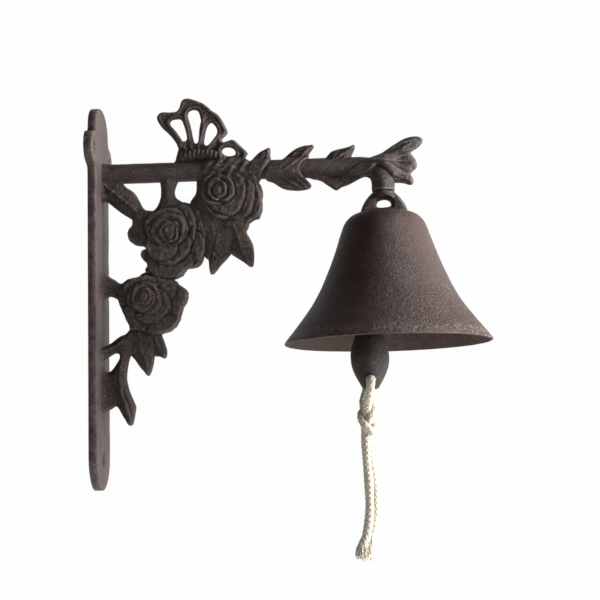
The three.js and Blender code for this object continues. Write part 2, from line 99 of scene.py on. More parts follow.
def make(name, points, faces, material, body, nodes=(), smooth=True, sharp=None):
    mesh = bpy.data.meshes.new(name)
    mesh.from_pydata(to_frame(points).tolist(), [], [list(map(int, f)) for f in faces])
    mesh.validate()
    if smooth:
        mesh.shade_smooth()
        if sharp is not None:
            mesh.set_sharp_from_angle(angle=math.radians(sharp))
    obj = bpy.data.objects.new(name, mesh)
    scene.collection.objects.link(obj)
    if material is not None:
        mesh.materials.append(material)
    if body is not None:
        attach(obj, body)
        if nodes:
            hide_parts(*nodes)
    return obj


def catmull(points, step, closed=False):
    """A centripetal Catmull-Rom curve through the points, resampled at about that step."""
    p = np.array(points, float)
    n = len(p)
    if closed:
        ext = np.vstack([p[-1], p, p[0], p[1]])
        spans = n
    else:
        ext = np.vstack([2 * p[0] - p[1], p, 2 * p[-1] - p[-2]])
        spans = n - 1
    fine = []
    for i in range(spans):
        a, b, c, d = ext[i : i + 4]
        t0 = 0.0
        t1 = t0 + max(np.linalg.norm(b - a), 1e-6) ** 0.5
        t2 = t1 + max(np.linalg.norm(c - b), 1e-6) ** 0.5
        t3 = t2 + max(np.linalg.norm(d - c), 1e-6) ** 0.5
        for t in np.linspace(t1, t2, 24, endpoint=False):
            a1 = (t1 - t) / (t1 - t0) * a + (t - t0) / (t1 - t0) * b
            a2 = (t2 - t) / (t2 - t1) * b + (t - t1) / (t2 - t1) * c
            a3 = (t3 - t) / (t3 - t2) * c + (t - t2) / (t3 - t2) * d
            b1 = (t2 - t) / (t2 - t0) * a1 + (t - t0) / (t2 - t0) * a2
            b2 = (t3 - t) / (t3 - t1) * a2 + (t - t1) / (t3 - t1) * a3
            fine.append((t2 - t) / (t2 - t1) * b1 + (t - t1) / (t2 - t1) * b2)
    fine = np.array(fine + [p[0] if closed else p[-1]])
    run = np.concatenate([[0], np.cumsum(np.linalg.norm(np.diff(fine, axis=0), axis=1))])
    count = max(3, int(round(run[-1] / step)))
    s = np.linspace(0, run[-1], count + 1)
    if closed:
        s = s[:-1]
    return np.stack([np.interp(s, run, fine[:, k]) for k in range(fine.shape[1])], 1)


def frames(path, first=None):
    """Directions along a path that don't twist: tangent, and two across it."""
    t = np.gradient(path, axis=0)
    t /= np.linalg.norm(t, axis=1)[:, None]
    a = np.array(first if first is not None else (0.0, 1.0, 0.0), float)
    across = []
    for d in t:
        a = a - d * (a @ d)
        a /= np.linalg.norm(a)
        across.append(a)
    u = np.array(across)
    return t, u, np.cross(t, u)


def sweep(path, radius, sides=32, first=None, caps=True):
    """A tube. radius is a number, an array along the path, or a function of (index, angle)."""
    path = np.array(path, float)
    _, u, v = frames(path, first)
    ang = np.linspace(0, 2 * math.pi, sides, endpoint=False)
    pts = []
    for i, c in enumerate(path):
        r = radius(i, ang) if callable(radius) else np.broadcast_to(
            radius[i] if np.ndim(radius) else radius, ang.shape)
        pts.append(c + (np.cos(ang) * r)[:, None] * u[i] + (np.sin(ang) * r)[:, None] * v[i])
    pts = np.concatenate(pts)
    faces = []
    for i in range(len(path) - 1):
        for k in range(sides):
            a, b = i * sides + k, i * sides + (k + 1) % sides
            faces.append((a, b, b + sides, a + sides))
    if caps:
        n = len(path)
        pts = np.vstack([pts, path[0], path[-1]])
        for k in range(sides):
            faces.append((n * sides, (k + 1) % sides, k))
            faces.append((n * sides + 1, (n - 1) * sides + k, (n - 1) * sides + (k + 1) % sides))
    return pts, faces


def closed_sweep(path, radius, sides=20):
    path = np.array(path, float)
    n = len(path)
    centre = path.mean(0)
    t = np.roll(path, -1, 0) - np.roll(path, 1, 0)
    t /= np.linalg.norm(t, axis=1)[:, None]
    normal = np.linalg.svd(path - centre)[2][2]
    u = np.cross(np.broadcast_to(normal, t.shape), t)
    ang = np.linspace(0, 2 * math.pi, sides, endpoint=False)
    pts = np.concatenate([
        path[i] + radius * (np.cos(ang)[:, None] * u[i] + np.sin(ang)[:, None] * normal) for i in range(n)])
    faces = []
    for i in range(n):
        for k in range(sides):
            a, b = i * sides + k, i * sides + (k + 1) % sides
            c, d = ((i + 1) % n) * sides + (k + 1) % sides, ((i + 1) % n) * sides + k
            faces.append((a, b, c, d))
    return pts, faces


def lathe(profile, cx, sides=160, cy=0.0):
    """profile of (r, z) from the axis at one end to the axis at the other."""
    pr = np.array(profile, float)
    ang = np.linspace(0, 2 * math.pi, sides, endpoint=False)
    pts, rows = [], []
    for r, z in pr:
        if r < 1e-6:
            rows.append([len(pts)])
            pts.append((cx, cy, z))
        else:
            rows.append(list(range(len(pts), len(pts) + sides)))
            pts += [(cx + r * math.cos(a), cy + r * math.sin(a), z) for a in ang]
    faces = []
    for a, b in zip(rows, rows[1:]):
        for k in range(sides):
            k2 = (k + 1) % sides
            if len(a) == 1 and len(b) == 1:
                continue
            if len(a) == 1:
                faces.append((a[0], b[k], b[k2]))
            elif len(b) == 1:
                faces.append((a[k], b[0], a[k2]))
            else:
                faces.append((a[k], b[k], b[k2], a[k2]))
    return np.array(pts), faces


def outward(obj):
    import bmesh
    bm = bmesh.new()
    bm.from_mesh(obj.data)
    bmesh.ops.recalc_face_normals(bm, faces=bm.faces)
    bm.to_mesh(obj.data)
    bm.free()
    return obj


def boolean(obj, cutter, operation="DIFFERENCE"):
    outward(obj), outward(cutter)
    m = obj.modifiers.new("cut", "BOOLEAN")
    m.object, m.operation, m.solver = cutter, operation, "EXACT"
    dg = bpy.context.evaluated_depsgraph_get()
    made = bpy.data.meshes.new_from_object(obj.evaluated_get(dg))
    obj.modifiers.clear()
    old = obj.data
    obj.data = made
    made.name = obj.name
    bpy.data.meshes.remove(old)
    bpy.data.objects.remove(cutter)
    return obj


def segments_distance(p, a, b):
    """Distance of points p to the nearest of the segments a-b."""
    best = np.full(len(p), 1e9)
    d = b - a
    l2 = np.maximum((d * d).sum(1), 1e-12)
    for i in range(len(a)):
        t = np.clip(((p - a[i]) @ d[i]) / l2[i], 0, 1)
        q = p - a[i] - t[:, None] * d[i]
        best = np.minimum(best, (q * q).sum(1))
    return np.sqrt(best)


def line_distance(p, line):
    line = np.array(line, float)
    return segments_distance(p, line[:-1], line[1:])


def inside(p, loop):
    x, y = p[:, 0], p[:, 1]
    hit = np.zeros(len(p), bool)
    a, b = loop, np.roll(loop, -1, 0)
    for (x0, y0), (x1, y1) in zip(a, b):
        if y0 == y1:
            continue
        cross = (y0 > y) != (y1 > y)
        hit ^= cross & (x < (x1 - x0) * (y - y0) / (y1 - y0) + x0)
    return hit


def smooth(x):
    x = np.clip(x, 0, 1)
    return x * x * (3 - 2 * x)


def round_edge(width):
    return lambda d: np.sqrt(np.clip(1 - (1 - np.clip(d / width, 0, 1)) ** 2, 0, 1))


def relief(name, outline, height, material, body, slot, nodes=(), holes=(), step=0.6, edge=1.6,
           back=None, edge_shape=None, y0=0.0, plane="XZ", bumpy=(0.17, 4.5), soft=True, rim=0.5):
    """A cast relief: a flat outline swollen by height(points, distance from the edge) to the front, and by back to the rear."""
    loops = [catmull(outline, rim, True) if soft else np.array(outline, float)]
    loops += [catmull(h, rim, True) for h in holes]
    oriented = []
    for i, l in enumerate(loops):
        area = 0.5 * np.sum(l[:, 0] * np.roll(l[:, 1], -1) - np.roll(l[:, 0], -1) * l[:, 1])
        if (area < 0) != (i > 0):
            l = l[::-1]
        oriented.append(l)
    a = np.vstack(oriented)
    b = np.vstack([np.roll(l, -1, 0) for l in oriented])
    pts = [a]
    for share in (0.03, 0.12, 0.30, 0.56, 0.88):
        off = share * edge
        for l in oriented:
            t = np.roll(l, -1, 0) - np.roll(l, 1, 0)
            t /= np.maximum(np.linalg.norm(t, axis=1), 1e-9)[:, None]
            q = l + off * np.stack([-t[:, 1], t[:, 0]], 1)
            keep = segments_distance(q, a, b) > 0.94 * off
            pts.append(q[keep])
    lo, hi = oriented[0].min(0), oriented[0].max(0)
    gx = np.arange(lo[0], hi[0] + step, step)
    gz = np.arange(lo[1], hi[1] + step, step * 0.866)
    grid = np.array([(x + (0.5 * step if j % 2 else 0), z) for j, z in enumerate(gz) for x in gx])
    ok = inside(grid, oriented[0])
    for l in oriented[1:]:
        ok &= ~inside(grid, l)
    grid = grid[ok]
    grid = grid[segments_distance(grid, a, b) > 0.88 * edge + 0.35 * step]
    pts.append(grid)
    flat = np.vstack(pts)
    edges, start = [], 0
    for l in oriented:
        n = len(l)
        edges += [(start + i, start + (i + 1) % n) for i in range(n)]
        start += n
    out = delaunay_2d_cdt([Vector(p) for p in flat.tolist()], edges, [], 0, 1e-5)
    uv = np.array([tuple(v) for v in out[0]])
    tris = np.array([f for f in out[2] if len(f) == 3])
    mid = uv[tris].mean(1)
    ok = inside(mid, oriented[0])
    for l in oriented[1:]:
        ok &= ~inside(mid, l)
    tris = tris[ok]
    e0, e1, e2 = uv[tris[:, 0]], uv[tris[:, 1]], uv[tris[:, 2]]
    area = (e1[:, 0] - e0[:, 0]) * (e2[:, 1] - e0[:, 1]) - (e1[:, 1] - e0[:, 1]) * (e2[:, 0] - e0[:, 0])
    tris[area < 0] = tris[area < 0][:, ::-1]
    d = segments_distance(uv, a, b)
    shape = (edge_shape or round_edge(edge))(d)
    front = height(uv, d) * shape
    rear = (back or height)(uv, d) * shape
    border = d < 1e-4
    front[border] = rear[border] = 0
    n = len(uv)
    other = np.arange(n)
    free = np.where(~border)[0]
    other[free] = n + np.arange(len(free))
    if plane == "XZ":
        p1 = np.stack([uv[:, 0], y0 - front, uv[:, 1]], 1)
        p2 = np.stack([uv[free, 0], y0 + rear[free], uv[free, 1]], 1)
    else:  # the plate: outline in YZ, front towards +X
        p1 = np.stack([y0 + front, uv[:, 0], uv[:, 1]], 1)
        p2 = np.stack([y0 - rear[free], uv[free, 0], uv[free, 1]], 1)
    points = np.vstack([p1, p2])
    faces = tris.tolist() + [(other[c], other[b_], other[a_]) for a_, b_, c in tris.tolist()]
    if bumpy[0]:
        moved = wobble(wobble(points, bumpy[0], bumpy[1], seed=3.1), 0.055, 1.5, seed=8.3)
        if plane == "YZ":
            moved[:, 0] = np.where(points[:, 0] < y0 + 0.05, points[:, 0], moved[:, 0])
        points = moved
    used = np.unique(np.array([i for f in faces for i in f]))
    remap = -np.ones(len(points), int)
    remap[used] = np.arange(len(used))
    faces = [tuple(remap[list(f)]) for f in faces]
    return make(name, points[used], faces, material, body, nodes)


# ------------------------------------------------------------------------------------ materials
class Nodes:
    def __init__(self, name):
        self.mat = bpy.data.materials.new(name)
        self.mat.use_nodes = True
        self.tree = self.mat.node_tree
        self.shader = self.tree.nodes["Principled BSDF"]
        self.coord = self.tree.nodes.new("ShaderNodeTexCoord").outputs["Object"]

    def link(self, a, b):
        self.tree.links.new(a, b)

    def noise(self, scale, detail=4.0, rough=0.55, distortion=0.0, offset=None, stretch=None):
        n = self.tree.nodes.new("ShaderNodeTexNoise")
        n.inputs["Scale"].default_value = scale
        n.inputs["Detail"].default_value = detail
        n.inputs["Roughness"].default_value = rough
        n.inputs["Distortion"].default_value = distortion
        src = self.coord
        if offset or stretch:
            m = self.tree.nodes.new("ShaderNodeMapping")
            if offset:
                m.inputs["Location"].default_value = offset
            if stretch:
                m.inputs["Scale"].default_value = stretch
            self.link(src, m.inputs["Vector"])
            src = m.outputs["Vector"]
        self.link(src, n.inputs["Vector"])
        return n.outputs["Fac"]

    def voronoi(self, scale, feature="F1"):
        n = self.tree.nodes.new("ShaderNodeTexVoronoi")
        n.feature = feature
        n.inputs["Scale"].default_value = scale
        self.link(self.coord, n.inputs["Vector"])
        return n.outputs["Distance"]

    def ramp(self, value, stops):
        n = self.tree.nodes.new("ShaderNodeValToRGB")
        e = n.color_ramp.elements
        while len(e) < len(stops):
            e.new(0.5)
        for item, (pos, colour) in zip(e, stops):
            item.position = pos
            c = colour if isinstance(colour, tuple) else (colour,) * 3
            item.color = (*c, 1)
        self.link(value, n.inputs["Fac"])
        return n.outputs["Color"]

    def mix(self, factor, a, b, mode="MIX"):
        n = self.tree.nodes.new("ShaderNodeMix")
        n.data_type, n.blend_type = "RGBA", mode
        for key, v in (("Factor", factor), ("A", a), ("B", b)):
            sock = [s for s in n.inputs if s.name == key and s.enabled][0]
            if hasattr(v, "links"):
                self.link(v, sock)
            elif isinstance(v, tuple):
                sock.default_value = (*v, 1)
            else:
                sock.default_value = v
        return [s for s in n.outputs if s.enabled][0]

    def math(self, op, a, b=0.0, c=None):
        n = self.tree.nodes.new("ShaderNodeMath")
        n.operation = op
        n.use_clamp = False
        for i, v in enumerate((a, b, c)):
            if v is None:
                continue
            if hasattr(v, "links"):
                self.link(v, n.inputs[i])
            else:
                n.inputs[i].default_value = v
        return n.outputs[0]

    def axis(self, k):
        n = self.tree.nodes.new("ShaderNodeSeparateXYZ")
        self.link(self.coord, n.inputs[0])
        return n.outputs[k]

    def bump(self, height, strength, distance, normal=None):
        n = self.tree.nodes.new("ShaderNodeBump")
        n.inputs["Strength"].default_value = strength
        n.inputs["Distance"].default_value = distance
        self.link(height, n.inputs["Height"])
        if normal is not None:
            self.link(normal, n.inputs["Normal"])
        return n.outputs["Normal"]

    def pointiness(self):
        return self.tree.nodes.new("ShaderNodeNewGeometry").outputs["Pointiness"]


def iron(name, dark, mid, light, worn_and_highlight, rough=(0.42, 0.62), wear=0.6, bump=1.0, cavity=True, specks=0.5, band=None):
    """Old sand-cast iron: brown patina in patches, fine grain and pits, edges rubbed paler; the paler edges are partly
    real wear and partly a painted highlight along lit bevels and lips.
    """
    n = Nodes(name)
    broad = n.noise(48, 5, 0.62, 0.5)
    mottled = n.noise(300, 6, 0.70)
    grain = n.noise(1150, 4, 0.68)
    pits = n.noise(560, 2, 0.5, offset=(3.1, 1.7, 0.4))
    base = n.ramp(n.math("ADD", n.math("MULTIPLY", broad, 0.62), n.math("MULTIPLY", mottled, 0.38)),
                  [(0.34, dark), (0.52, mid), (0.68, light)])
    base = n.mix(n.ramp(grain, [(0.36, 0.85), (0.52, 0.0)]), base, tuple(0.35 * c for c in dark))
    speck = n.math("MULTIPLY", n.ramp(n.noise(900, 3, 0.7, offset=(0.3, 5.2, 2.2)), [(0.54, 0.0), (0.68, 1.0)]), specks)
    base = n.mix(speck, base, worn_and_highlight)
    point = n.pointiness()
    if cavity:
        base = n.mix(n.ramp(point, [(0.40, 0.75), (0.492, 0.0)]), base, tuple(0.35 * c for c in dark))
    # worn edges and painted highlight: convex edges, in patches, take the paler worn colour
    edge = n.ramp(point, [(0.512, 0.0), (0.56, 1.0)])
    rubbed = n.ramp(n.noise(210, 5, 0.7, offset=(1.2, 0.1, 4.4)), [(0.40, 0.0), (0.62, 1.0)])
    wear_and_highlight_fac = n.math("MULTIPLY", n.math("MULTIPLY", edge, rubbed), wear)
    if band is not None:  # a height where hands and weather have rubbed the surface, with its half width
        off = n.math("ABSOLUTE", n.math("SUBTRACT", n.axis(2), band[0]))
        near = n.ramp(n.math("DIVIDE", off, band[1]), [(0.25, 1.0), (1.0, 0.0)])
        patch = n.ramp(n.noise(620, 6, 0.8, offset=(2.0, 2.0, 7.0)), [(0.50, 0.0), (0.60, 1.0)])
        wear_and_highlight_fac = n.math("MAXIMUM", wear_and_highlight_fac, n.math("MULTIPLY", n.math("MULTIPLY", near, patch), band[2]))
    base = n.mix(wear_and_highlight_fac, base, worn_and_highlight)
    n.link(base, n.shader.inputs["Base Color"])
    r = n.math("ADD", n.math("MULTIPLY", n.noise(150, 5, 0.6), rough[1] - rough[0]), rough[0])
    r = n.math("SUBTRACT", r, n.math("MULTIPLY", wear_and_highlight_fac, 0.10))
    n.link(r, n.shader.inputs["Roughness"])
    n.shader.inputs["Specular IOR Level"].default_value = 0.30
    n.shader.inputs["Metallic"].default_value = 0.0
    soft = n.bump(n.noise(190, 4, 0.65), 0.5 * bump, 0.0010)
    pitted = n.bump(n.ramp(pits, [(0.30, 0.0), (0.46, 1.0)]), 0.45 * bump, 0.00030, soft)
    fine = n.bump(grain, min(1.0, 0.80 * bump), 0.00065 * bump, pitted)
    n.link(fine, n.shader.inputs["Normal"])
    return n.mat


bracket_iron = iron("bracket_iron", (0.021, 0.0120, 0.0095), (0.048, 0.0315, 0.0262), (0.078, 0.0570, 0.0490),
                    (0.190, 0.165, 0.148), rough=(0.38, 0.58), wear=0.60, specks=0.40, bump=1.25)
plate_iron = iron("plate_iron", (0.034, 0.0220, 0.0190), (0.062, 0.0430, 0.0385), (0.086, 0.0640, 0.0570),
                  (0.20, 0.175, 0.160), rough=(0.45, 0.65), wear=0.45, specks=0.30, bump=1.0)
bell_iron = iron("bell_iron", (0.0200, 0.0072, 0.0050), (0.041, 0.0170, 0.0120), (0.066, 0.0340, 0.0262),
                 (0.175, 0.140, 0.122), rough=(0.40, 0.54), wear=0.6, specks=0.26, bump=1.4,
                 band=(-0.0246, 0.0036, 0.75))
inside_iron = iron("bell_inside_iron", (0.026, 0.0120, 0.0080), (0.047, 0.0255, 0.0185), (0.070, 0.042, 0.032),
                   (0.17, 0.12, 0.09), rough=(0.6, 0.8), wear=0.3, specks=0.25, bump=1.3)
clapper_iron = iron("clapper_iron", (0.0170, 0.0115, 0.0098), (0.034, 0.0245, 0.0215), (0.060, 0.048, 0.0425),
                    (0.17, 0.15, 0.135), rough=(0.42, 0.60), wear=0.6, specks=0.45, bump=1.7)
wire_steel = iron("rusted_wire", (0.020, 0.0110, 0.0070), (0.045, 0.026, 0.0170), (0.085, 0.050, 0.0330),
                  (0.20, 0.18, 0.16), rough=(0.5, 0.7), wear=0.7, specks=0.3)
pin_steel = iron("pin_steel", (0.0170, 0.0110, 0.0090), (0.033, 0.0230, 0.0190), (0.06, 0.046, 0.0390),
                 (0.22, 0.20, 0.18), rough=(0.35, 0.5), wear=0.7, specks=0.3)


def cotton(name, clean, shade, dirt_and_crevice_shade):
    n = Nodes(name)
    broad = n.noise(120, 4, 0.6)
    fibre = n.noise(2600, 3, 0.6, stretch=(1, 1, 0.25))
    base = n.mix(n.ramp(broad, [(0.35, 0.0), (0.70, 1.0)]), clean, shade)
    base = n.mix(n.ramp(n.noise(420, 5, 0.7, offset=(0.7, 0.2, 0.9)), [(0.56, 0.0), (0.74, 0.55)]), base, dirt_and_crevice_shade)
    # painted shade: the hollows between the yarns are darkened towards the dirt colour
    base = n.mix(n.ramp(n.pointiness(), [(0.38, 0.45), (0.48, 0.0)]), base, tuple(0.55 * c for c in dirt_and_crevice_shade))
    base = n.mix(n.ramp(fibre, [(0.30, 0.28), (0.55, 0.0)]), base, dirt_and_crevice_shade)
    n.link(base, n.shader.inputs["Base Color"])
    n.shader.inputs["Roughness"].default_value = 0.92
    n.shader.inputs["Specular IOR Level"].default_value = 0.25
    n.shader.inputs["Sheen Weight"].default_value = 0.25
    n.shader.inputs["Sheen Roughness"].default_value = 0.6
    n.shader.inputs["Subsurface Weight"].default_value = 0.12
    n.shader.inputs["Subsurface Radius"].default_value = (1.0, 0.85, 0.65)
    n.shader.inputs["Subsurface Scale"].default_value = 0.0006
    n.link(n.bump(fibre, 0.6, 0.00012), n.shader.inputs["Normal"])
    return n.mat


rope_cotton = cotton("rope_cotton", (0.45, 0.425, 0.34), (0.385, 0.355, 0.275), (0.28, 0.25, 0.19))
fibre_cotton = cotton("fibre_cotton", (0.48, 0.455, 0.37), (0.42, 0.39, 0.31), (0.35, 0.32, 0.25))


# ------------------------------------------------------------------------------------ pull rope
ROPE_R = 2.25
FRONT = [(142, -0.4, 53.6), (142, -5, 53.6), (141.9, -8.6, 52.6), (141.5, -9.6, 48.8), (140.6, -7.6, 44),
         (140.0, -4.4, 41.4), (139.5, -2.8, 38.4), (138.9, -2.3, 33), (138.5, -2.4, 27.5), (138.5, -2.5, 23.1),
         (138.8, -2.3, 12), (139.5, -2.3, -2), (139.2, -2.5, -16), (136.9, -2.6, -27), (134.0, -2.6, -34)]
BACK = [(142, 0.4, 53.6), (142, 5, 53.6), (141.5, 8.6, 52.6), (140.0, 9.6, 48.8), (138.6, 6.6, 44),
        (138.2, 3.4, 41.4), (138.6, 2.8, 38.4), (139.2, 2.3, 33), (139.9, 2.2, 27.5), (140.2, 2.1, 23.1),
        (140.9, 2.2, 12), (142.4, 2.2, -2), (142.0, 2.1, -16), (139.2, 2.3, -27), (136.2, 2.4, -34)]


def braid(radius, run, pitch=2.9, carriers=6, depth=0.34, phase=0.0, taper=None):
    """Radius of a braided cord: two families of yarns that wind opposite ways, over and under each other."""
    def at_ring(i, ang):
        s = run[i] / pitch
        a = carriers * ang / (2 * math.pi) + s + phase
        b = carriers * ang / (2 * math.pi) - s + phase
        ia, ib = np.floor(a), np.floor(b)
        fa, fb = a - ia - 0.5, b - ib - 0.5
        over = (ia + ib) % 2 == 0
        across = np.where(over, fa, fb)
        along = np.where(over, fb, fa)
        yarn = np.sqrt(np.clip(1 - (1.85 * across) ** 2, 0, 1)) * (0.55 + 0.45 * np.cos(math.pi * along))
        scale = 1.0 if taper is None else taper[i]
        return (radius - depth + depth * 1.25 * yarn) * scale
    return at_ring


def rope_piece(name, points, phase, step=0.2, sides=64, fray_from=None):
    path = catmull(points, step)
    run = np.concatenate([[0], np.cumsum(np.linalg.norm(np.diff(path, axis=0), axis=1))])
    left = run[-1] - run
    taper = np.ones(len(run))
    if fray_from:
        taper = 1.0 + 0.05 * np.sin(run / 3.1 + phase) - 0.10 * smooth((fray_from - left) / fray_from)
    pts, faces = sweep(path, braid(ROPE_R + 0.02, run, phase=phase, taper=taper), sides, first=(1, 0, 0))
    return path, run[-1], make(name, pts, faces, rope_cotton, None)


def hair(name, lines, radius, sides=4):
    pts, faces = [], []
    for line in lines:
        r = np.linspace(1.0, 0.45, len(line)) * radius
        p, f = sweep(np.array(line), r, sides)
        faces += [tuple(np.array(q) + len(pts)) for q in f]
        pts += p.tolist()
    return np.array(pts), faces


rng = random.Random(7)


def frayed_end(points, count):
    """Loose yarns of an unravelled end, that leave its last stretch and spread as they hang."""
    path = catmull(points, 0.5)
    run = np.concatenate([[0], np.cumsum(np.linalg.norm(np.diff(path, axis=0), axis=1))])
    t, u, v = frames(path, (1, 0, 0))
    lines = []
    for _ in range(count):
        left = rng.uniform(0.5, 9.0)
        i = int(np.searchsorted(run, run[-1] - left))
        i = min(max(i, 0), len(path) - 1)
        a = rng.uniform(0, 2 * math.pi)
        rad = ROPE_R * math.sqrt(rng.uniform(0.05, 0.95)) * (0.95 if left > 2 else 0.75)
        out = math.cos(a) * u[i] + math.sin(a) * v[i]
        p = path[i] + rad * out
        spread = rng.uniform(0.0, 0.17) + (0.16 if rng.random() < 0.18 else 0.0)
        length = left + rng.uniform(0.4, 3.6)
        heading = t[i] * 1.0
        line = [p]
        steps = 7
        curl = rng.uniform(0, 6.28)
        for k in range(steps):
            heading = heading * 0.82 + np.array([0.0, 0.0, -1.0]) * 0.18
            heading /= np.linalg.norm(heading)
            w = out * spread * (0.4 + 0.9 * k / steps)
            q = np.array([math.cos(curl + k * 0.8), math.sin(curl + k * 0.9), 0]) * 0.26
            p = p + (heading + w + q) * (length / steps)
            line.append(p)
        lines.append(np.array(line))
    return lines


front_path, front_len, rope_front = rope_piece("pull_rope_front", FRONT, 0.0, fray_from=9.0)
back_path, back_len, rope_back = rope_piece("pull_rope_back", BACK, 0.5, fray_from=9.0)

knot_line = [(139.6, 1.6, 40.4), (142.0, 1.2, 39.4), (142.9, -1.2, 37.6), (141.5, -3.5, 34.8), (139.8, -3.4, 32.0), (138.6, -2.0, 30.4),
             (138.2, 1.0, 30.6), (139.2, 3.2, 33.0), (137.4, 2.2, 36.6), (136.7, -0.6, 35.4), (136.9, -3.0, 33.0), (138.6, -4.6, 29.6),
             (141.2, -4.2, 27.0), (143.0, -1.8, 27.2), (143.1, 1.2, 28.8), (141.0, 3.2, 30.6), (139.4, 2.4, 32.0)]
knot_path = catmull(knot_line, 0.2)
knot_run = np.concatenate([[0], np.cumsum(np.linalg.norm(np.diff(knot_path, axis=0), axis=1))])
end_in = 1.0 - 0.35 * smooth((3.0 - knot_run) / 3.0) - 0.35 * smooth((3.0 - (knot_run[-1] - knot_run)) / 3.0)
kp, kf = sweep(knot_path, braid(ROPE_R - 0.1, knot_run, phase=0.25, depth=0.36, taper=end_in), 56, first=(0, 0, 1))
knot = make("rope_overhand_knot", kp, kf, rope_cotton, None)

fp, ff = hair("f", frayed_end(FRONT, 80), 0.34)
frayed_front = make("rope_fray_front", fp, ff, fibre_cotton, None)
bp_, bf = hair("b", frayed_end(BACK, 80), 0.34)
frayed_back = make("rope_fray_back", bp_, bf, fibre_cotton, None)


def fuzz(path, count, skip):
    t, u, v = frames(path, (1, 0, 0))
    lines = []
    for _ in range(count):
        i = rng.randrange(skip, len(path) - 1)
        a = rng.uniform(0, 2 * math.pi)
        out = math.cos(a) * u[i] + math.sin(a) * v[i]
        side = -math.sin(a) * u[i] + math.cos(a) * v[i]
        p = path[i] + out * (ROPE_R - 0.25)
        long_ = rng.uniform(0.5, 1.3)
        lean = rng.uniform(-1, 1)
        lines.append(np.array([p, p + out * 0.5 * long_ + t[i] * 0.2 * lean + side * 0.1,
                               p + out * 0.75 * long_ + t[i] * 0.6 * lean + side * 0.35 * lean]))
    return lines


zp, zf = hair("z", fuzz(front_path, 170, 120) + fuzz(back_path, 170, 120) + fuzz(knot_path, 70, 5), 0.045, 3)
rope_fuzz = make("rope_fuzz", zp, zf, fibre_cotton, None)

for piece in (rope_front, rope_back, knot, frayed_front, frayed_back, rope_fuzz):
    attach(piece, "rope")
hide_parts("rope_loop_front", "rope_tail_front")
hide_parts("rope_loop_back", "rope_tail_back")
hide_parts("rope_knot")
to_frame(front_path[::4]).tolist()
to_frame(back_path[::4]).tolist()


# ------------------------------------------------------------------------------------ bell
BELL_X = 151.8
OUTER = [(0, 141.0), (5, 141.0), (9, 141.0), (12, 140.75), (14.6, 140.2), (16.6, 139.4), (18.2, 138.4), (20.0, 136.6),
         (21.2, 134.8), (22.2, 132.5), (24.4, 126), (27.3, 117.5), (30.7, 109), (34.5, 100.5), (39.3, 92.2),
         (45.3, 84), (50.0, 78), (52.2, 75.3), (53.5, 73.5)]
LIP = [(53.95, 72.75), (53.92, 72.42), (53.6, 72.25), (53.0, 72.22), (52.55, 72.45)]
INNER = [(51.9, 73.1), (48.3, 76.7), (43, 82.9), (36.7, 91), (31.9, 99.4), (28.1, 108), (24.7, 116.6), (21.9, 125.1),
         (19.9, 130.6), (18.6, 133.2), (16.6, 134.9), (12, 136.2), (6, 136.6), (0, 136.6)]


def bell_profile():
    o = catmull([(r, z) for r, z in OUTER], 0.8)
    l = catmull([OUTER[-1]] + LIP + [INNER[0]], 0.25)[1:-1]
    i = catmull(INNER, 1.2)
    o[:, 0] = np.maximum(o[:, 0], 0)
    i[:, 0] = np.maximum(i[:, 0], 0)
    o[0, 0] = i[-1, 0] = 0
    return np.vstack([o, l, i]), len(o) + len(l) // 2


profile, split = bell_profile()
bp, bfaces = lathe(profile, BELL_X, 176)
bp = wobble(bp, 0.16, 26.0, 1.0)
bp = wobble(bp, 0.05, 5.0, 9.0)
bell = make("bell_casting", bp, bfaces, bell_iron, "bell", ("bell_shell",))
outward(bell)
bell.data.materials.append(inside_iron)
inner_z = np.array([z for _, z in INNER])
for poly in bell.data.polygons:
    c, nrm = poly.center, poly.normal
    rx, ry = c.x * 1000 - X0 - BELL_X, c.y * 1000
    if rx * nrm.x + ry * nrm.y < 0 and nrm.z < 0.35 or (nrm.z < -0.9 and c.z * 1000 + Z0 > 120):
        poly.material_index = 1


def crown(uv, d):
    x, z = np.abs(uv[:, 0] - BELL_X), uv[:, 1]
    h = 4.4 + 2.6 * np.exp(-np.clip(z - 140.6, 0, None) / 1.3)
    t = smooth((z - 147.0) / 5.0)
    neck = np.sqrt(np.clip(6.35**2 - np.clip(x, 0, 6.0) ** 2, 1.0, None))
    h = h * (1 - t) + np.maximum(neck, 2.0) * t
    return np.where(z > 151.95 - 0.0125 * x**2, 1.85, h)


half = [(12.6, 139.4), (12.4, 141.2), (11.9, 143.1), (11.0, 145.2), (9.7, 147.3), (8.1, 149.5), (6.9, 150.7), (6.3, 151.4),
        (5.6, 152.1), (5.1, 153.6), (4.8, 157.2), (3.6, 159.6), (2.0, 160.6), (0, 160.9)]
loop = [(BELL_X + r, z) for r, z in half] + [(BELL_X - r, z) for r, z in half[-2::-1]]
dwin = [(-3.7, 144.2), (-3.0, 143.7), (0, 143.55), (3.0, 144.1), (3.7, 144.6), (3.65, 145.8), (2.9, 147.1), (1.5, 147.7), (0, 147.9),
        (-1.6, 147.6), (-2.9, 147.0), (-3.7, 145.5)]
crown_obj = relief("bell_crown_loop", loop, crown, bell_iron, "bell", "bell_iron", ("crown_loop",),
                   holes=[[(BELL_X + x, z) for x, z in dwin]], step=0.5, edge=1.9, bumpy=(0.08, 6.0), rim=0.4)

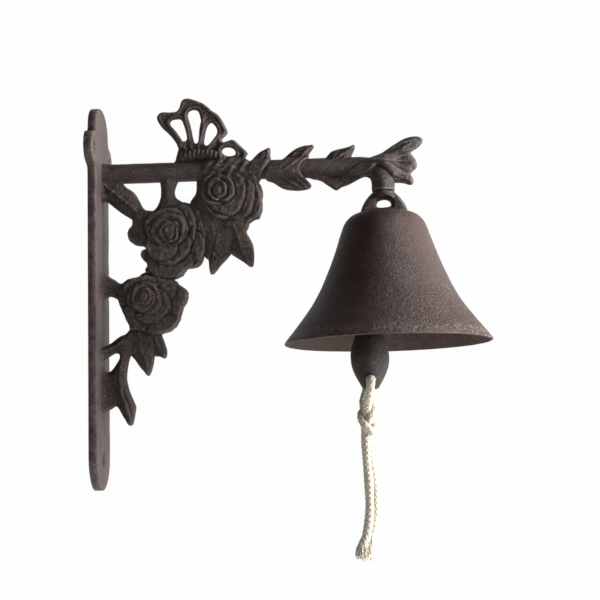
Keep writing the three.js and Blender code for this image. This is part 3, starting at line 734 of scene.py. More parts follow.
# staple, ring and stem inside the bell
sx0 = 142 - 3.4
sx1 = 2 * BELL_X - sx0
staple = [(sx0 - 0.2, 0, 137.4), (sx0 - 0.1, 0, 132.8), (sx0 + 0.6, 0, 131.0), (sx0 + 2.4, 0, 130.2), (BELL_X, 0, 130.2),
          (sx1 - 2.4, 0, 130.2), (sx1 - 0.6, 0, 131.0), (sx1 + 0.1, 0, 132.8), (sx1 + 0.2, 0, 137.4)]
p, f = sweep(catmull(staple, 0.4), 1.5, 24, first=(0, 1, 0))
make("staple_wire", wobble(p, 0.06, 3.0), f, wire_steel, "bell", ("clapper_staple",))
RT, RH, RW = 130.2 + 1.5 + 1.1 + 0.3, 11.4, 3.6
ring = [(142, RW * math.cos(a), (RT - RW if a < math.pi else RT - RH + RW) + RW * math.sin(a))
        for a in np.linspace(0, 2 * math.pi, 17)[:-1]]
p, f = closed_sweep(catmull(ring, 0.4, True), 1.1, 20)
make("ring_wire", wobble(p, 0.05, 2.5), f, wire_steel, "ring", ("clapper_ring",))
EYE_R = 3.4
eye_z = RT - RH + 1.1 + 0.3 + 1.2 - EYE_R
stem = [(142 + EYE_R * math.sin(a), 0, eye_z + EYE_R * math.cos(a)) for a in np.linspace(math.radians(170), math.radians(-172), 30)]
stem = [(142.0, 0, 89.0), (142.0, 0, 104.0), (142.0, 0, eye_z - EYE_R - 2.6), (142.15, 0, eye_z - EYE_R - 0.7)] + \
       [(142 + EYE_R * math.sin(a), 0, eye_z + EYE_R * math.cos(a)) for a in np.linspace(math.radians(160), math.radians(-168), 26)]
path = catmull(stem, 0.4)
p, f = sweep(path, 1.25, 20, first=(0, 1, 0))
make("stem_wire", wobble(p, 0.06, 3.0), f, wire_steel, "clapper", ("clapper_stem",))

# ------------------------------------------------------------------------------------ clapper
BALL = [(0, 92), (2.2, 92), (3.3, 91.7), (3.9, 90.6), (4.3, 88.6), (5.2, 84), (7, 78), (8.8, 72.5), (9.8, 68), (10, 64.5),
        (9.6, 60.8), (8.5, 57.2), (6.7, 53.6), (5.0, 50.6), (4.2, 49.3), (3.3, 48.75), (1.6, 48.6), (0, 48.6)]
bpro = catmull(BALL, 0.55)
bpro[:, 0] = np.maximum(bpro[:, 0], 0)
bpro[0, 0] = bpro[-1, 0] = 0
p, f = lathe(bpro, 142.0, 96)
ball = make("clapper_casting", wobble(wobble(p, 0.14, 6.0, 4.0), 0.05, 1.6, 2.0), f, clapper_iron, None)
bore = [(0, -12), (2.75, -12), (2.65, -8), (2.55, -5.6), (2.5, -4), (2.5, 4), (2.55, 5.6), (2.65, 8), (2.75, 12), (0, 12)]
p, f = lathe([(r, z) for r, z in bore], 0.0, 40)
p = np.stack([p[:, 0] + 142.0, p[:, 2], p[:, 1] + 53.6], 1)
ball = boolean(ball, make("bore_cutter", p, f, None, None))
ball.data.shade_smooth()
ball.data.set_sharp_from_angle(angle=math.radians(42))
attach(ball, "clapper")
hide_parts("clapper_ball")

# ------------------------------------------------------------------------------------ arm with its hook
ARM_Z = 166.0
arm_line = [(2.0, 0, ARM_Z), (30, 0, ARM_Z), (60, 0, ARM_Z), (100, 0, ARM_Z), (132, 0, ARM_Z), (140.5, 0, 165.9),
            (145.2, 0, 165.2), (148.9, 0, 163.4), (151.1, 0, 160.6), (151.8, 0, 157.2), (151.8, 0, 154.6), (151.8, 0, 152.6)]
arm_path = catmull(arm_line, 0.7)
x = arm_path[:, 0]
arm_r = 5.15 + 0.12 * np.sin(x / 17.0) + 1.2 * smooth((x - 145) / 6.5)
arm_r = arm_r + 0.9 * np.exp(-np.clip(x - 3.0, 0, None) / 2.2)
arm_r[-1] -= 0.22
p, f = sweep(arm_path, arm_r, 56, first=(0, 1, 0))
arm = make("arm_and_hook", wobble(wobble(p, 0.12, 9.0, 2.0), 0.04, 2.2, 5.0), f, bracket_iron, None)


def block(x0, x1, y0, y1, z0, z1):
    c = [(x, y, z) for x in (x0, x1) for y in (y0, y1) for z in (z0, z1)]
    return c, [(0, 1, 3, 2), (4, 6, 7, 5), (0, 4, 5, 1), (2, 3, 7, 6), (0, 2, 6, 4), (1, 5, 7, 3)]


cp, cf = block(140, 165, -2.2, 2.2, 150, 161.4)
arm = boolean(arm, make("slot_cutter", cp, cf, None, None, smooth=False))
arm.data.shade_smooth()
arm.data.set_sharp_from_angle(angle=math.radians(40))
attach(arm, "bracket")
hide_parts("bracket_arm", "arm_hook")

# rivet with hammered heads, flush with the hook's cheeks
rv = [(0, -6.35), (0.9, -6.33), (1.35, -6.2), (1.5, -5.9), (1.5, 5.9), (1.35, 6.2), (0.9, 6.33), (0, 6.35)]
p, f = lathe(rv, 0.0, 32)
p = np.stack([p[:, 0] + BELL_X, p[:, 2], p[:, 1] + 156.8], 1)
outward(make("hanger_rivet", wobble(p, 0.04, 1.2), f, pin_steel, "bracket", ("hanger_pin",)))


# ------------------------------------------------------------------------------------ cast reliefs
def ridge(uv, line, width, height, taper=True):
    """A raised line: its height falls off across width, and towards its ends."""
    line = catmull(np.array(line, float), 0.8)
    d = line_distance(uv, line)
    h = height * np.exp(-((d / width) ** 2))
    if taper:
        e = np.linalg.norm(uv - line[-1], axis=1)
        h = h * (0.35 + 0.65 * smooth(e / 4.0))
    return h


def leaf(base, crown_, veins=(), rib=0.5, rib_w=0.55, span=4.0):
    def height(uv, d):
        h = base + crown_ * np.sqrt(np.clip(d / span, 0, 1))
        h = h + 1.8 * np.exp(-np.clip(uv[:, 0] - 3.3, 0, None) / 1.4)
        for i, line in enumerate(veins):
            h = h + ridge(uv, line, rib_w * (1.15 if i == 0 else 0.8), rib * (1.0 if i == 0 else 0.65))
            h = h - ridge(uv, np.array(line) + np.array([0.0, -1.15]), 0.5, rib * 0.45)
        return h
    return height


def rose(petals, floor=2.6, swirl=1.0):
    """Petals from the outermost in: (x, z, radius x, radius z, turn, level, dome, lip, lip width)."""
    def height(uv, d):
        h = np.full(len(uv), floor)
        for k, (cx, cz, rx, rz, turn, level, dome, lip, lip_w) in enumerate(petals):
            a = math.radians(turn)
            dx, dz = uv[:, 0] - cx, uv[:, 1] - cz
            px = (dx * math.cos(a) + dz * math.sin(a)) / rx
            pz = (-dx * math.sin(a) + dz * math.cos(a)) / rz
            rho = np.hypot(px, pz)
            th = np.arctan2(pz, px)
            rho = rho * (1 + swirl * (0.060 * np.sin(2 * th + 1.7 * k) + 0.050 * np.sin(3 * th + 2.9 * k)
                                      + 0.022 * np.sin(5 * th + 0.8 * k)))
            size = min(rx, rz)
            out = (rho - 1) * size
            ragged = 0.55 + 0.45 * np.sin(3.0 * th + 1.3 * k) * np.sin(1.4 * th + 0.7 * k)
            top = level + dome * (1 - np.clip(rho, 0, 1) ** 2) * 0.7 + 0.85 * lip * ragged * np.exp(-(((rho - 0.88) / (1.25 * lip_w)) ** 2))
            crease = 0.62 * np.exp(-((np.clip(out, 0, None) / 0.8) ** 2))
            w = smooth(0.5 - out / 0.85)
            h = (h - crease * (out > -0.3)) * (1 - w) + np.maximum(top, h * 0.0 + top) * w
        return np.maximum(h, 1.2)
    return height


# outlines and petals of the castings, in the XZ plane
ROSE_UPPER = [(55.6, 159.9), (55.1, 156.1), (55.5, 151.8), (57.0, 147.4), (59.6, 143.6), (62.8,
    140.3), (66.4, 137.5), (68.5, 134.8), (72.1, 133.3), (76.9, 133.5), (79.5, 134.7), (80.6,
    136.6), (82.8, 138.6), (86.0, 139.6), (87.6, 142.8), (88.2, 146.5), (88.0, 149.7), (88.4,
    153.5), (87.4, 157.3), (85.9, 160.6), (83.8, 164.4), (80.2, 167.2), (74.4, 169.0), (66.9,
    169.8), (60.5, 168.4), (57.3, 164.7)]
ROSE_MIDDLE = [(33.7, 147.1), (30.0, 145.6), (26.3, 146.0), (22.6, 145.3), (19.9, 142.9), (19.1,
    141.1), (19.1, 138.4), (17.2, 136.3), (16.4, 133.1), (17.7, 129.9), (21.3, 127.1), (25.0,
    126.7), (26.1, 125.6), (24.0, 124.1), (23.4, 121.7), (25.0, 119.0), (26.8, 116.3), (25.5,
    114.2), (26.5, 112.0), (29.6, 109.8), (34.4, 108.6), (39.6, 108.5), (42.8, 109.2), (46.0,
    111.0), (48.1, 114.1), (51.3, 114.2), (54.5, 115.5), (56.3, 118.6), (57.4, 121.8), (58.3,
    126.0), (58.4, 131.9), (57.4, 137.8), (55.9, 143.2), (53.3, 147.0), (49.6, 149.0), (44.9,
    150.0), (40.1, 149.0)]
ROSE_LOWER = [(13.8, 107.6), (16.4, 109.4), (21.7, 110.6), (26.0, 113.1), (31.2, 110.8), (37.5,
    109.6), (42.2, 107.9), (43.8, 105.7), (46.4, 103.8), (48.0, 101.9), (47.9, 97.7), (45.8,
    94.0), (44.9, 90.9), (43.8, 87.3), (42.5, 84.7), (39.3, 81.6), (35.6, 80.4), (31.9, 79.7),
    (26.7, 80.4), (21.5, 81.6), (17.8, 82.2), (17.0, 84.8), (15.7, 87.0), (14.2, 90.7), (12.6,
    94.4), (11.1, 98.7), (11.7, 103.4)]
LEAF_BETWEEN = [(49.6, 148.7), (52.9, 154.6), (53.3, 160.5), (53.6, 167.0), (61.6, 166.7),
    (63.6, 160.2), (62.4, 150.5), (66.5, 142.3), (73.8, 137.3), (80.6, 136.6), (79.2, 132.9),
    (75.7, 128.7), (70.9, 123.5), (66.1, 119.4), (59.2, 118.5), (57.4, 119.9), (55.7, 129.3),
    (52.7, 142.7)]
LEAF_TIP_LEFT = [(58.5, 122.8), (59.0, 117.5), (59.4, 113.2), (60.2, 110.7), (61.5, 110.8),
    (63.4, 112.6), (66.0, 115.7), (70.9, 121.1), (72.5, 125.6), (69.5, 133.1), (63.2, 135.5),
    (58.9, 130.3)]
LEAF_TIP_RIGHT = [(69.0, 135.3), (69.7, 128.9), (70.1, 124.1), (70.9, 121.4), (73.5, 119.4),
    (77.1, 117.0), (81.3, 114.0), (82.5, 114.4), (83.0, 116.8), (83.1, 121.0), (82.5, 125.8),
    (81.0, 129.3), (79.5, 132.3), (79.3, 134.5), (74.8, 137.3)]
LEAF_UNDER_ARM = [(2.2, 163.6), (14.2, 162.5), (14.7, 160.3), (16.3, 158.4), (18.4, 157.0),
    (21.0, 154.5), (23.1, 150.9), (24.7, 147.6), (26.8, 145.4), (26.2, 140.9), (20.9, 139.4),
    (18.3, 141.6), (14.6, 143.9), (10.9, 146.7), (6.7, 150.3), (2.2, 152.6)]
STEM_MID = [(34.4, 164.3), (34.4, 156.7), (33.8, 151.4), (32.4, 147.7), (30.0, 145.0), (33.7,
    142.8), (43.2, 144.6), (46.5, 147.8), (44.9, 150.5), (42.5, 152.2), (41.7, 154.9), (42.3,
    158.1), (43.7, 161.3), (44.5, 164.0)]
STEM_PU = [(2.2, 114.4), (6.4, 111.3), (9.6, 109.3), (12.2, 107.4), (13.8, 107.5), (15.9,
    108.9), (19.6, 105.9), (17.4, 97.5), (13.2, 96.5), (11.1, 98.7), (8.5, 100.2), (6.9, 100.4),
    (2.2, 98.4)]
STEM_PL = [(2.2, 72.9), (7.8, 76.2), (9.9, 77.9), (12.5, 79.6), (15.2, 80.8), (17.3, 82.7),
    (20.9, 79.5), (19.8, 72.2), (15.6, 68.6), (12.0, 70.0), (10.1, 70.6), (8.3, 69.9), (2.2,
    66.6)]
LEAF_LM = [(17.3, 83.3), (16.7, 78.5), (16.4, 73.8), (17.5, 69.6), (18.8, 68.3), (21.9, 63.8),
    (24.4, 60.6), (26.5, 58.4), (27.4, 58.5), (28.6, 60.7), (29.4, 63.6), (30.0, 66.9), (30.5,
    69.3), (31.9, 73.9), (31.4, 79.7), (25.7, 83.0)]
LEAF_LR = [(26.7, 81.9), (27.7, 74.6), (30.3, 68.6), (32.9, 68.2), (35.5, 67.3), (36.5, 68.1),
    (36.8, 70.9), (35.9, 74.6), (34.8, 77.8), (34.3, 79.4), (35.1, 82.2)]
LEAF_TAIL = [(10.9, 73.5), (11.7, 70.0), (11.8, 68.2), (10.4, 65.4), (8.5, 62.6), (6.0, 61.0),
    (2.2, 63.0), (2.2, 40.6), (7.9, 41.9), (8.9, 42.8), (9.9, 43.0), (11.0, 42.0), (12.3, 39.6),
    (14.1, 36.5), (15.9, 33.5), (17.2, 32.9), (18.5, 33.3), (19.0, 34.8), (19.7, 37.9), (20.1,
    40.5), (20.3, 42.5), (19.3, 45.4), (17.9, 48.5), (16.7, 51.9), (15.9, 55.6), (15.8, 59.8),
    (16.3, 63.9), (17.3, 67.8), (18.3, 71.2), (16.2, 74.9)]
BUTTERFLY = [(32.6, 195.9), (33.5, 197.8), (35.1, 198.7), (37.5, 198.8), (40.2, 198.7), (43.2,
    199.1), (44.5, 200.7), (45.2, 202.9), (46.0, 204.8), (47.2, 205.7), (49.4, 206.0), (53.1,
    204.8), (57.1, 203.1), (59.5, 201.3), (62.1, 198.8), (65.1, 196.8), (67.3, 193.7), (69.1,
    190.0), (70.2, 187.6), (70.1, 186.0), (68.5, 184.4), (67.1, 182.8), (67.6, 181.6), (69.3,
    181.8), (72.0, 182.7), (73.8, 182.3), (75.6, 180.6), (77.7, 178.4), (79.8, 176.4), (80.7,
    174.9), (79.8, 173.4), (79.7, 172.1), (81.6, 170.7), (83.4, 166.0), (82.6, 160.6), (76.0, 157.6),
    (62.0, 157.6), (54.6, 159.6), (50.6, 163.0), (46.0, 166.4), (41.4, 167.9), (41.4,
    171.1), (42.2, 172.2), (42.7, 174.3), (43.3, 176.5), (43.8, 178.7), (42.9, 181.4), (41.1,
    184.2), (38.7, 187.0), (35.8, 189.8), (34.2, 192.0), (33.1, 194.0)]
BF_HOLE1 = [(44.7, 194.7), (45.8, 194.0), (46.5, 192.7), (47.2, 190.5), (47.9, 187.8), (48.4,
    185.0), (48.3, 183.4), (47.4, 182.6), (46.2, 182.9), (45.1, 184.6), (43.5, 187.1), (41.8,
    189.3), (40.2, 191.3), (39.7, 192.7), (40.3, 194.0), (41.7, 194.6)]
BF_HOLE2 = [(51.1, 199.4), (52.7, 199.5), (54.3, 199.0), (55.3, 197.4), (55.8, 195.2), (56.0,
    193.2), (55.6, 191.3), (55.1, 188.1), (54.8, 184.8), (54.4, 182.1), (53.4, 181.2), (52.5,
    181.9), (51.8, 184.4), (51.1, 188.2), (50.4, 191.5), (49.5, 194.5), (49.1, 196.7), (49.8,
    198.6)]
BF_HOLE3 = [(61.7, 192.2), (62.9, 191.4), (64.1, 189.6), (64.6, 187.8), (64.3, 185.9), (62.9,
    183.8), (61.6, 182.2), (60.2, 180.6), (58.9, 180.0), (57.9, 180.6), (57.6, 182.0), (58.0,
    184.2), (58.5, 186.9), (59.1, 189.2), (60.1, 191.2)]
BF_HOLE4 = [(67.0, 176.3), (67.4, 177.6), (68.7, 178.4), (70.5, 178.6), (72.4, 178.1), (73.8,
    176.9), (74.2, 175.5), (73.7, 174.3), (71.8, 173.9), (69.7, 174.0), (68.0, 174.8)]
ARM_LEAF_BY = [(81.3, 168.8), (82.4, 170.9), (84.5, 173.3), (87.8, 175.9), (90.5, 177.2), (92.2,
    177.9), (92.8, 176.8), (92.7, 173.3), (93.0, 170.9), (91.3, 166.9), (88.0, 161.6), (84.7,
    157.4), (81.6, 159.1), (80.1, 164.0)]
ARM_LEAF_1 = [(90.2, 165.8), (94.0, 168.9), (98.3, 170.6), (101.0, 172.8), (103.1, 174.6),
    (106.4, 176.8), (110.1, 178.2), (113.3, 178.6), (115.4, 178.6), (115.9, 177.5), (114.8,
    175.6), (113.3, 173.5), (113.0, 171.3), (110.9, 169.0), (108.8, 166.3), (109.0, 163.6),
    (110.7, 160.9), (112.5, 158.9), (114.0, 157.0), (113.8, 155.7), (111.6, 154.5), (107.9,
    154.0), (103.7, 154.2), (100.6, 154.8), (97.4, 156.3), (93.8, 158.7), (90.1, 160.4)]
ARM_LEAF_2 = [(117.8, 168.2), (121.0, 170.5), (123.2, 172.9), (124.9, 174.6), (127.5, 175.4),
    (130.2, 176.0), (132.8, 176.6), (135.5, 177.5), (137.0, 178.2), (137.6, 177.0), (137.2,
    175.2), (136.2, 173.0), (135.7, 171.4), (136.3, 169.8), (132.0, 166.1), (128.3, 164.1),
    (121.9, 164.3), (118.3, 165.5)]
ARM_LEAF_2LOW = [(112.3, 161.4), (114.9, 159.9), (117.6, 159.4), (119.7, 158.6), (121.7, 157.0),
    (124.3, 155.2), (126.1, 153.9), (127.4, 153.6), (128.8, 154.4), (130.7, 155.5), (133.3,
    156.4), (136.5, 157.8), (139.7, 159.4), (142.9, 160.9), (146.2, 163.0), (149.4, 166.1),
    (147.4, 169.4), (143.8, 170.2), (140.0, 168.0), (135.7, 164.9), (131.4, 161.8), (126.1,
    161.5), (118.7, 163.9)]
END_TOP = [(140.0, 168.0), (144.3, 170.4), (148.6, 171.9), (151.8, 173.3), (155.0, 175.3),
    (158.2, 177.3), (161.5, 179.3), (163.6, 180.3), (166.8, 181.1), (170.0, 181.5), (172.1,
    180.9), (173.4, 179.7), (173.4, 178.6), (172.2, 176.8), (170.6, 175.2), (168.2, 173.9),
    (166.0, 172.4), (161.2, 170.6), (154.8, 168.7), (147.3, 166.7)]
END_MID = [(142.2, 169.0), (145.3, 170.4), (150.7, 171.4), (157.0, 172.9), (162.3, 173.8), (166.8, 173.0),
    (167.2, 171.8), (168.3, 170.2), (169.5, 168.5), (170.0, 166.3), (169.6, 164.4), (168.0,
    163.0), (166.1, 161.3), (161.6, 159.8), (157.0, 158.6), (154.2, 161.2), (151.0, 164.0), (147.6, 166.0), (144.6, 167.2)]
END_LOW = [(148.4, 168.3), (154.7, 166.5), (161.0, 164.7), (166.2, 162.4), (167.0, 159.9),
    (167.8, 158.6), (167.9, 157.0), (167.1, 155.6), (165.4, 155.5), (162.8, 156.3), (160.2,
    156.8), (158.1, 156.9), (155.5, 158.4), (153.0, 162.5)]
P_UPPER = [
    (79.3, 150.5, 8.9, 12.1, 0, 3.4, 1.2, 0.7, 0.1),
    (73.3, 137.3, 10.0, 4.7, 5, 3.2, 1.2, 0.5, 0.14),
    (70.0, 163.2, 11.6, 7.4, 0, 4.6, 1, 0.6, 0.12),
    (74.0, 151.2, 10.0, 12.6, -4, 4.2, 1.2, 0.8, 0.09),
    (66.1, 150.4, 10.0, 11.0, -20, 4.4, 1.2, 0.9, 0.1),
    (69.3, 153.5, 11.0, 11.6, 0, 4.9, 0.9, 0.9, 0.08),
    (64.1, 155.3, 8.1, 8.9, 0, 5.2, 1, 0.9, 0.1),
    (66.2, 155.8, 7.6, 7.4, 0, 5.6, 0.8, 0.9, 0.11),
    (64.3, 155.3, 5.2, 5.8, 0, 6, 0.7, 0.8, 0.15),
    (66.2, 154.7, 3.8, 4.2, 0, 6.3, 0.6, 0.8, 0.2),
    (64.6, 154.7, 2.2, 2.6, 0, 6.6, 0.5, 0.5, 0.3),
]
P_MIDDLE = [
    (24.6, 136.1, 9.5, 11.0, 0, 3.4, 1.3, 0.6, 0.1),
    (51.6, 133.7, 10.0, 14.7, 0, 3, 1.2, 0.9, 0.07),
    (51.9, 123.5, 6.3, 10.0, 0, 3.4, 1.6, 0.9, 0.1),
    (31.3, 120.4, 8.9, 7.4, -20, 3.7, 1.3, 0.5, 0.12),
    (38.7, 118.1, 12.6, 9.2, 4, 3.9, 1.3, 0.5, 0.1),
    (42.6, 133.4, 11.0, 14.2, -4, 4.3, 1, 0.9, 0.08),
    (39.8, 126.5, 9.5, 11.0, 4, 4.7, 1.1, 0.8, 0.09),
    (37.8, 136.2, 11.0, 10.5, 0, 5, 1, 0.8, 0.09),
    (34.6, 126.2, 8.9, 7.6, -10, 5.3, 1, 0.7, 0.12),
    (37.8, 134.1, 10.0, 9.2, -15, 5.5, 1, 0.9, 0.09),
    (36.7, 133.6, 7.2, 7.4, 0, 5.9, 0.8, 0.9, 0.11),
    (38.9, 133.0, 5.0, 5.8, 0, 6.3, 0.8, 0.8, 0.15),
    (39.4, 133.0, 2.9, 3.4, 0, 6.7, 0.5, 0.5, 0.25),
]
P_LOWER = [
    (16.4, 102.3, 7.4, 8.4, 0, 3.3, 1, 0.5, 0.14),
    (40.0, 93.7, 8.9, 14.2, -6, 3.4, 2.2, 0.4, 0.12),
    (32.5, 85.5, 10.0, 6.3, 6, 3.7, 1.4, 0.6, 0.14),
    (21.0, 88.9, 6.8, 8.4, -10, 4, 1.4, 0.5, 0.14),
    (33.3, 103.9, 8.9, 7.4, 0, 3.9, 1.2, 0.5, 0.14),
    (23.8, 103.6, 9.5, 6.8, 0, 4.2, 1, 0.6, 0.14),
    (29.5, 95.0, 8.9, 10.0, 0, 4.6, 1.2, 0.6, 0.12),
    (25.8, 98.8, 8.7, 8.9, 0, 5.2, 0.9, 0.7, 0.12),
    (24.8, 98.8, 6.3, 6.8, 0, 5.7, 0.8, 0.8, 0.13),
    (25.8, 99.3, 3.9, 4.5, 0, 6.2, 0.6, 0.7, 0.2),
    (25.3, 99.4, 2.1, 2.4, 0, 6.5, 0.4, 0.5, 0.3),
]
VEINS = {
    "veinsP": [
        [(4.5, 159.6), (10.4, 154.6), (16.8, 149.2), (24.1, 142.6)],
        [(9.0, 155.8), (11.6, 159.0), (12.8, 161.6)],
        [(12.6, 152.8), (15.0, 155.4), (16.0, 157.6)],
        [(16.2, 149.7), (18.6, 151.8), (20.0, 153.8)],
        [(8.4, 156.4), (7.6, 153.4), (7.2, 151.6)],
        [(12.2, 153.2), (11.2, 150.2), (10.8, 148.4)],
        [(16.2, 149.8), (15.2, 147.0), (14.6, 145.6)],
    ],
    "tail": [
        [(13.5, 71.3), (12.7, 60.9), (12.6, 51.5), (14.9, 43.7), (17.4, 35.9)],
        [(9.8, 61.0), (10.3, 51.6), (12.8, 43.7)],
        [(15.0, 50.4), (17.0, 44.7), (18.5, 39.5)],
        [(12.3, 50.5), (13.9, 43.2), (15.9, 37.5)],
    ],
    "tipR": [
        [(73.7, 133.6), (75.7, 126.0), (78.7, 119.0), (81.3, 114.7)],
        [(74.7, 127.1), (72.0, 123.5)],
        [(76.2, 124.4), (80.9, 124.3)],
        [(77.7, 120.7), (81.4, 120.0)],
    ],
    "tipL": [
        [(64.7, 131.2), (63.0, 123.7), (61.3, 117.4), (60.7, 112.1)],
        [(63.0, 123.7), (66.1, 119.4)],
        [(62.4, 120.6), (59.9, 123.8)],
    ],
    "lm": [
        [(22.5, 80.5), (23.5, 72.1), (26.0, 65.2), (27.0, 59.5)],
        [(17.8, 79.6), (19.3, 72.2), (22.9, 65.8)],
        [(27.8, 79.3), (28.2, 72.0), (28.7, 65.7)],
    ],
    "lr": [
        [(29.9, 80.3), (31.9, 74.5), (35.0, 68.6)],
    ],
    "by": [
        [(92.0, 176.6), (90.9, 171.2), (88.1, 164.8), (84.3, 159.5)],
        [(86.7, 174.6), (83.9, 169.8), (82.2, 165.0)],
    ],
    "l1": [
        [(92.3, 163.6), (100.2, 164.4), (107.3, 170.7), (114.9, 177.5)],
        [(100.2, 164.4), (107.1, 162.1), (113.3, 156.5)],
        [(97.6, 165.6), (103.0, 170.8), (107.4, 175.6)],
        [(99.6, 161.2), (103.8, 157.8), (108.0, 155.0)],
        [(102.8, 162.2), (108.0, 158.8), (111.1, 155.5)],
        [(104.0, 167.0), (110.0, 172.8), (112.2, 177.0)],
    ],
    "l2": [
        [(119.9, 167.1), (126.8, 170.1), (132.8, 173.7), (137.1, 177.3)],
        [(125.3, 170.1), (128.5, 174.3)],
        [(129.5, 171.6), (132.8, 175.8)],
    ],
    "l2l": [
        [(116.5, 160.7), (122.8, 158.3), (126.9, 154.5)],
        [(144.2, 168.5), (138.8, 163.2), (132.3, 159.1), (127.5, 155.0)],
        [(140.9, 164.2), (134.5, 159.1)],
    ],
    "et": [
        [(145.3, 169.5), (153.3, 173.0), (162.5, 177.6), (172.1, 180.0)],
        [(157.1, 174.5), (161.4, 176.6)],
        [(162.4, 174.4), (167.8, 178.0)],
        [(159.1, 172.3), (165.5, 174.3)],
    ],
    "em": [
        [(147.4, 168.4), (155.8, 167.6), (163.2, 167.3), (168.9, 166.6)],
        [(156.9, 168.1), (163.3, 171.1), (167.0, 171.5)],
        [(156.8, 167.0), (163.0, 163.6), (166.7, 162.9)],
    ],
    "el": [
        [(151.5, 165.0), (157.7, 160.5), (162.9, 158.2), (167.0, 157.0)],
        [(158.8, 161.5), (165.0, 160.3)],
    ],
    "pu": [
        [(4.3, 106.3), (9.0, 105.1), (15.3, 102.8)],
    ],
    "pl": [
        [(4.6, 71.5), (10.4, 74.5), (17.3, 78.5)],
    ],
    "btw": [
        [(58.5, 142.0), (61.1, 135.5), (62.5, 127.5)],
        [(54.4, 147.0), (56.9, 138.9), (57.8, 129.2)],
        [(55.6, 159.3), (55.0, 152.9), (58.1, 145.3)],
    ],
}


def over_arm(height):
    """The flower's top lies over the arm and swallows it."""
    def taller(uv, d):
        q = np.abs(uv[:, 1] - ARM_Z)
        x, z = uv[:, 0], uv[:, 1]
        on = smooth((x - 55.5) / 10.0)
        r = 5.0 + 1.2 * on
        cover = np.sqrt(np.clip(r**2 - np.clip(q, 0, r) ** 2 * (1 - 0.5 * on), 0, None)) * smooth((8.5 - q) / 3.0)
        fold = np.sin(0.62 * x + 0.5 * z) * np.sin(0.75 * z - 0.33 * x + 1.2) + 0.6 * np.sin(1.3 * x - 0.9 * z)
        curl = np.hypot((x - 66.0) / 1.25, z - 155.0)
        petal = 0.55 * np.exp(-(((curl - 10.4) / 0.8) ** 2)) + 0.5 * np.exp(-(((curl - 13.2) / 0.9) ** 2))
        return np.maximum(height(uv, d), cover + on * (0.42 * fold + petal))
    return taller


def cast(name, outline, height, nodes, **kw):
    return relief(name, outline, height, bracket_iron, "bracket", "bracket_iron", nodes, **kw)


cast("rose_upper_cast", ROSE_UPPER, over_arm(rose(P_UPPER)), ("rose_upper",), step=0.45, edge=1.5, bumpy=(0.36, 2.4))
cast("rose_middle_cast", ROSE_MIDDLE, rose(P_MIDDLE), ("rose_middle",), step=0.45, edge=1.5, bumpy=(0.36, 2.4))
cast("rose_lower_cast", ROSE_LOWER, rose(P_LOWER), ("rose_lower",), step=0.45, edge=1.5, bumpy=(0.38, 2.2))
cast("leaf_between_roses_cast", LEAF_BETWEEN, leaf(1.7, 1.5, VEINS["btw"], 0.5, 0.8), ("leaf_between_roses",), edge=1.3)
cast("leaf_tip_left_cast", LEAF_TIP_LEFT, leaf(1.5, 1.7, VEINS["tipL"], 0.6, 0.6), ("leaf_tip_left",), edge=1.2, step=0.5)
cast("leaf_tip_right_cast", LEAF_TIP_RIGHT, leaf(1.6, 1.8, VEINS["tipR"], 0.7, 0.6), ("leaf_tip_right",), edge=1.2, step=0.5)
cast("leaf_under_arm_cast", LEAF_UNDER_ARM, leaf(1.5, 1.5, VEINS["veinsP"], 0.55, 0.7), ("leaf_under_arm",), edge=1.2)
cast("stem_to_middle_rose_cast", STEM_MID, leaf(2.0, 1.9, (), span=5.0), ("stem_to_middle_rose",), edge=1.8)
cast("stem_to_plate_upper_cast", STEM_PU, leaf(2.0, 1.7, VEINS["pu"], 0.4, 0.9, span=4.5), ("stem_to_plate_upper",), edge=1.6)
cast("stem_to_plate_lower_cast", STEM_PL, leaf(2.0, 1.7, VEINS["pl"], 0.5, 0.8, span=4.0), ("stem_to_plate_lower",), edge=1.6)
cast("leaf_low_middle_cast", LEAF_LM, leaf(1.5, 1.8, VEINS["lm"], 0.6, 0.6), ("leaf_low_middle",), edge=1.2, step=0.5)
cast("leaf_low_right_cast", LEAF_LR, leaf(1.4, 1.5, VEINS["lr"], 0.5, 0.6), ("leaf_low_right",), edge=1.1, step=0.5)
cast("leaf_tail_cast", LEAF_TAIL, leaf(1.6, 1.8, VEINS["tail"], 0.7, 0.7), ("leaf_tail",), edge=1.2, step=0.55)


# butterfly: thin wings with a raised border round each opening, ribs, and a body along the arm
BODY_LINE = [(47.0, 174.4), (53.0, 175.2), (60.0, 174.9), (66.5, 173.0)]
RIBS = [
    [(49.0, 176.0), (44.0, 185.0), (38.5, 193.5)], [(51.0, 176.0), (49.4, 187.0), (46.8, 199.0)],
    [(54.0, 176.0), (57.0, 188.0), (58.4, 199.0)], [(58.5, 176.5), (63.0, 181.5), (67.5, 187.0)],
    [(48.5, 176.5), (45.4, 180.0), (43.0, 184.5)], [(65.0, 174.0), (66.0, 178.6), (70.5, 180.2)],
]


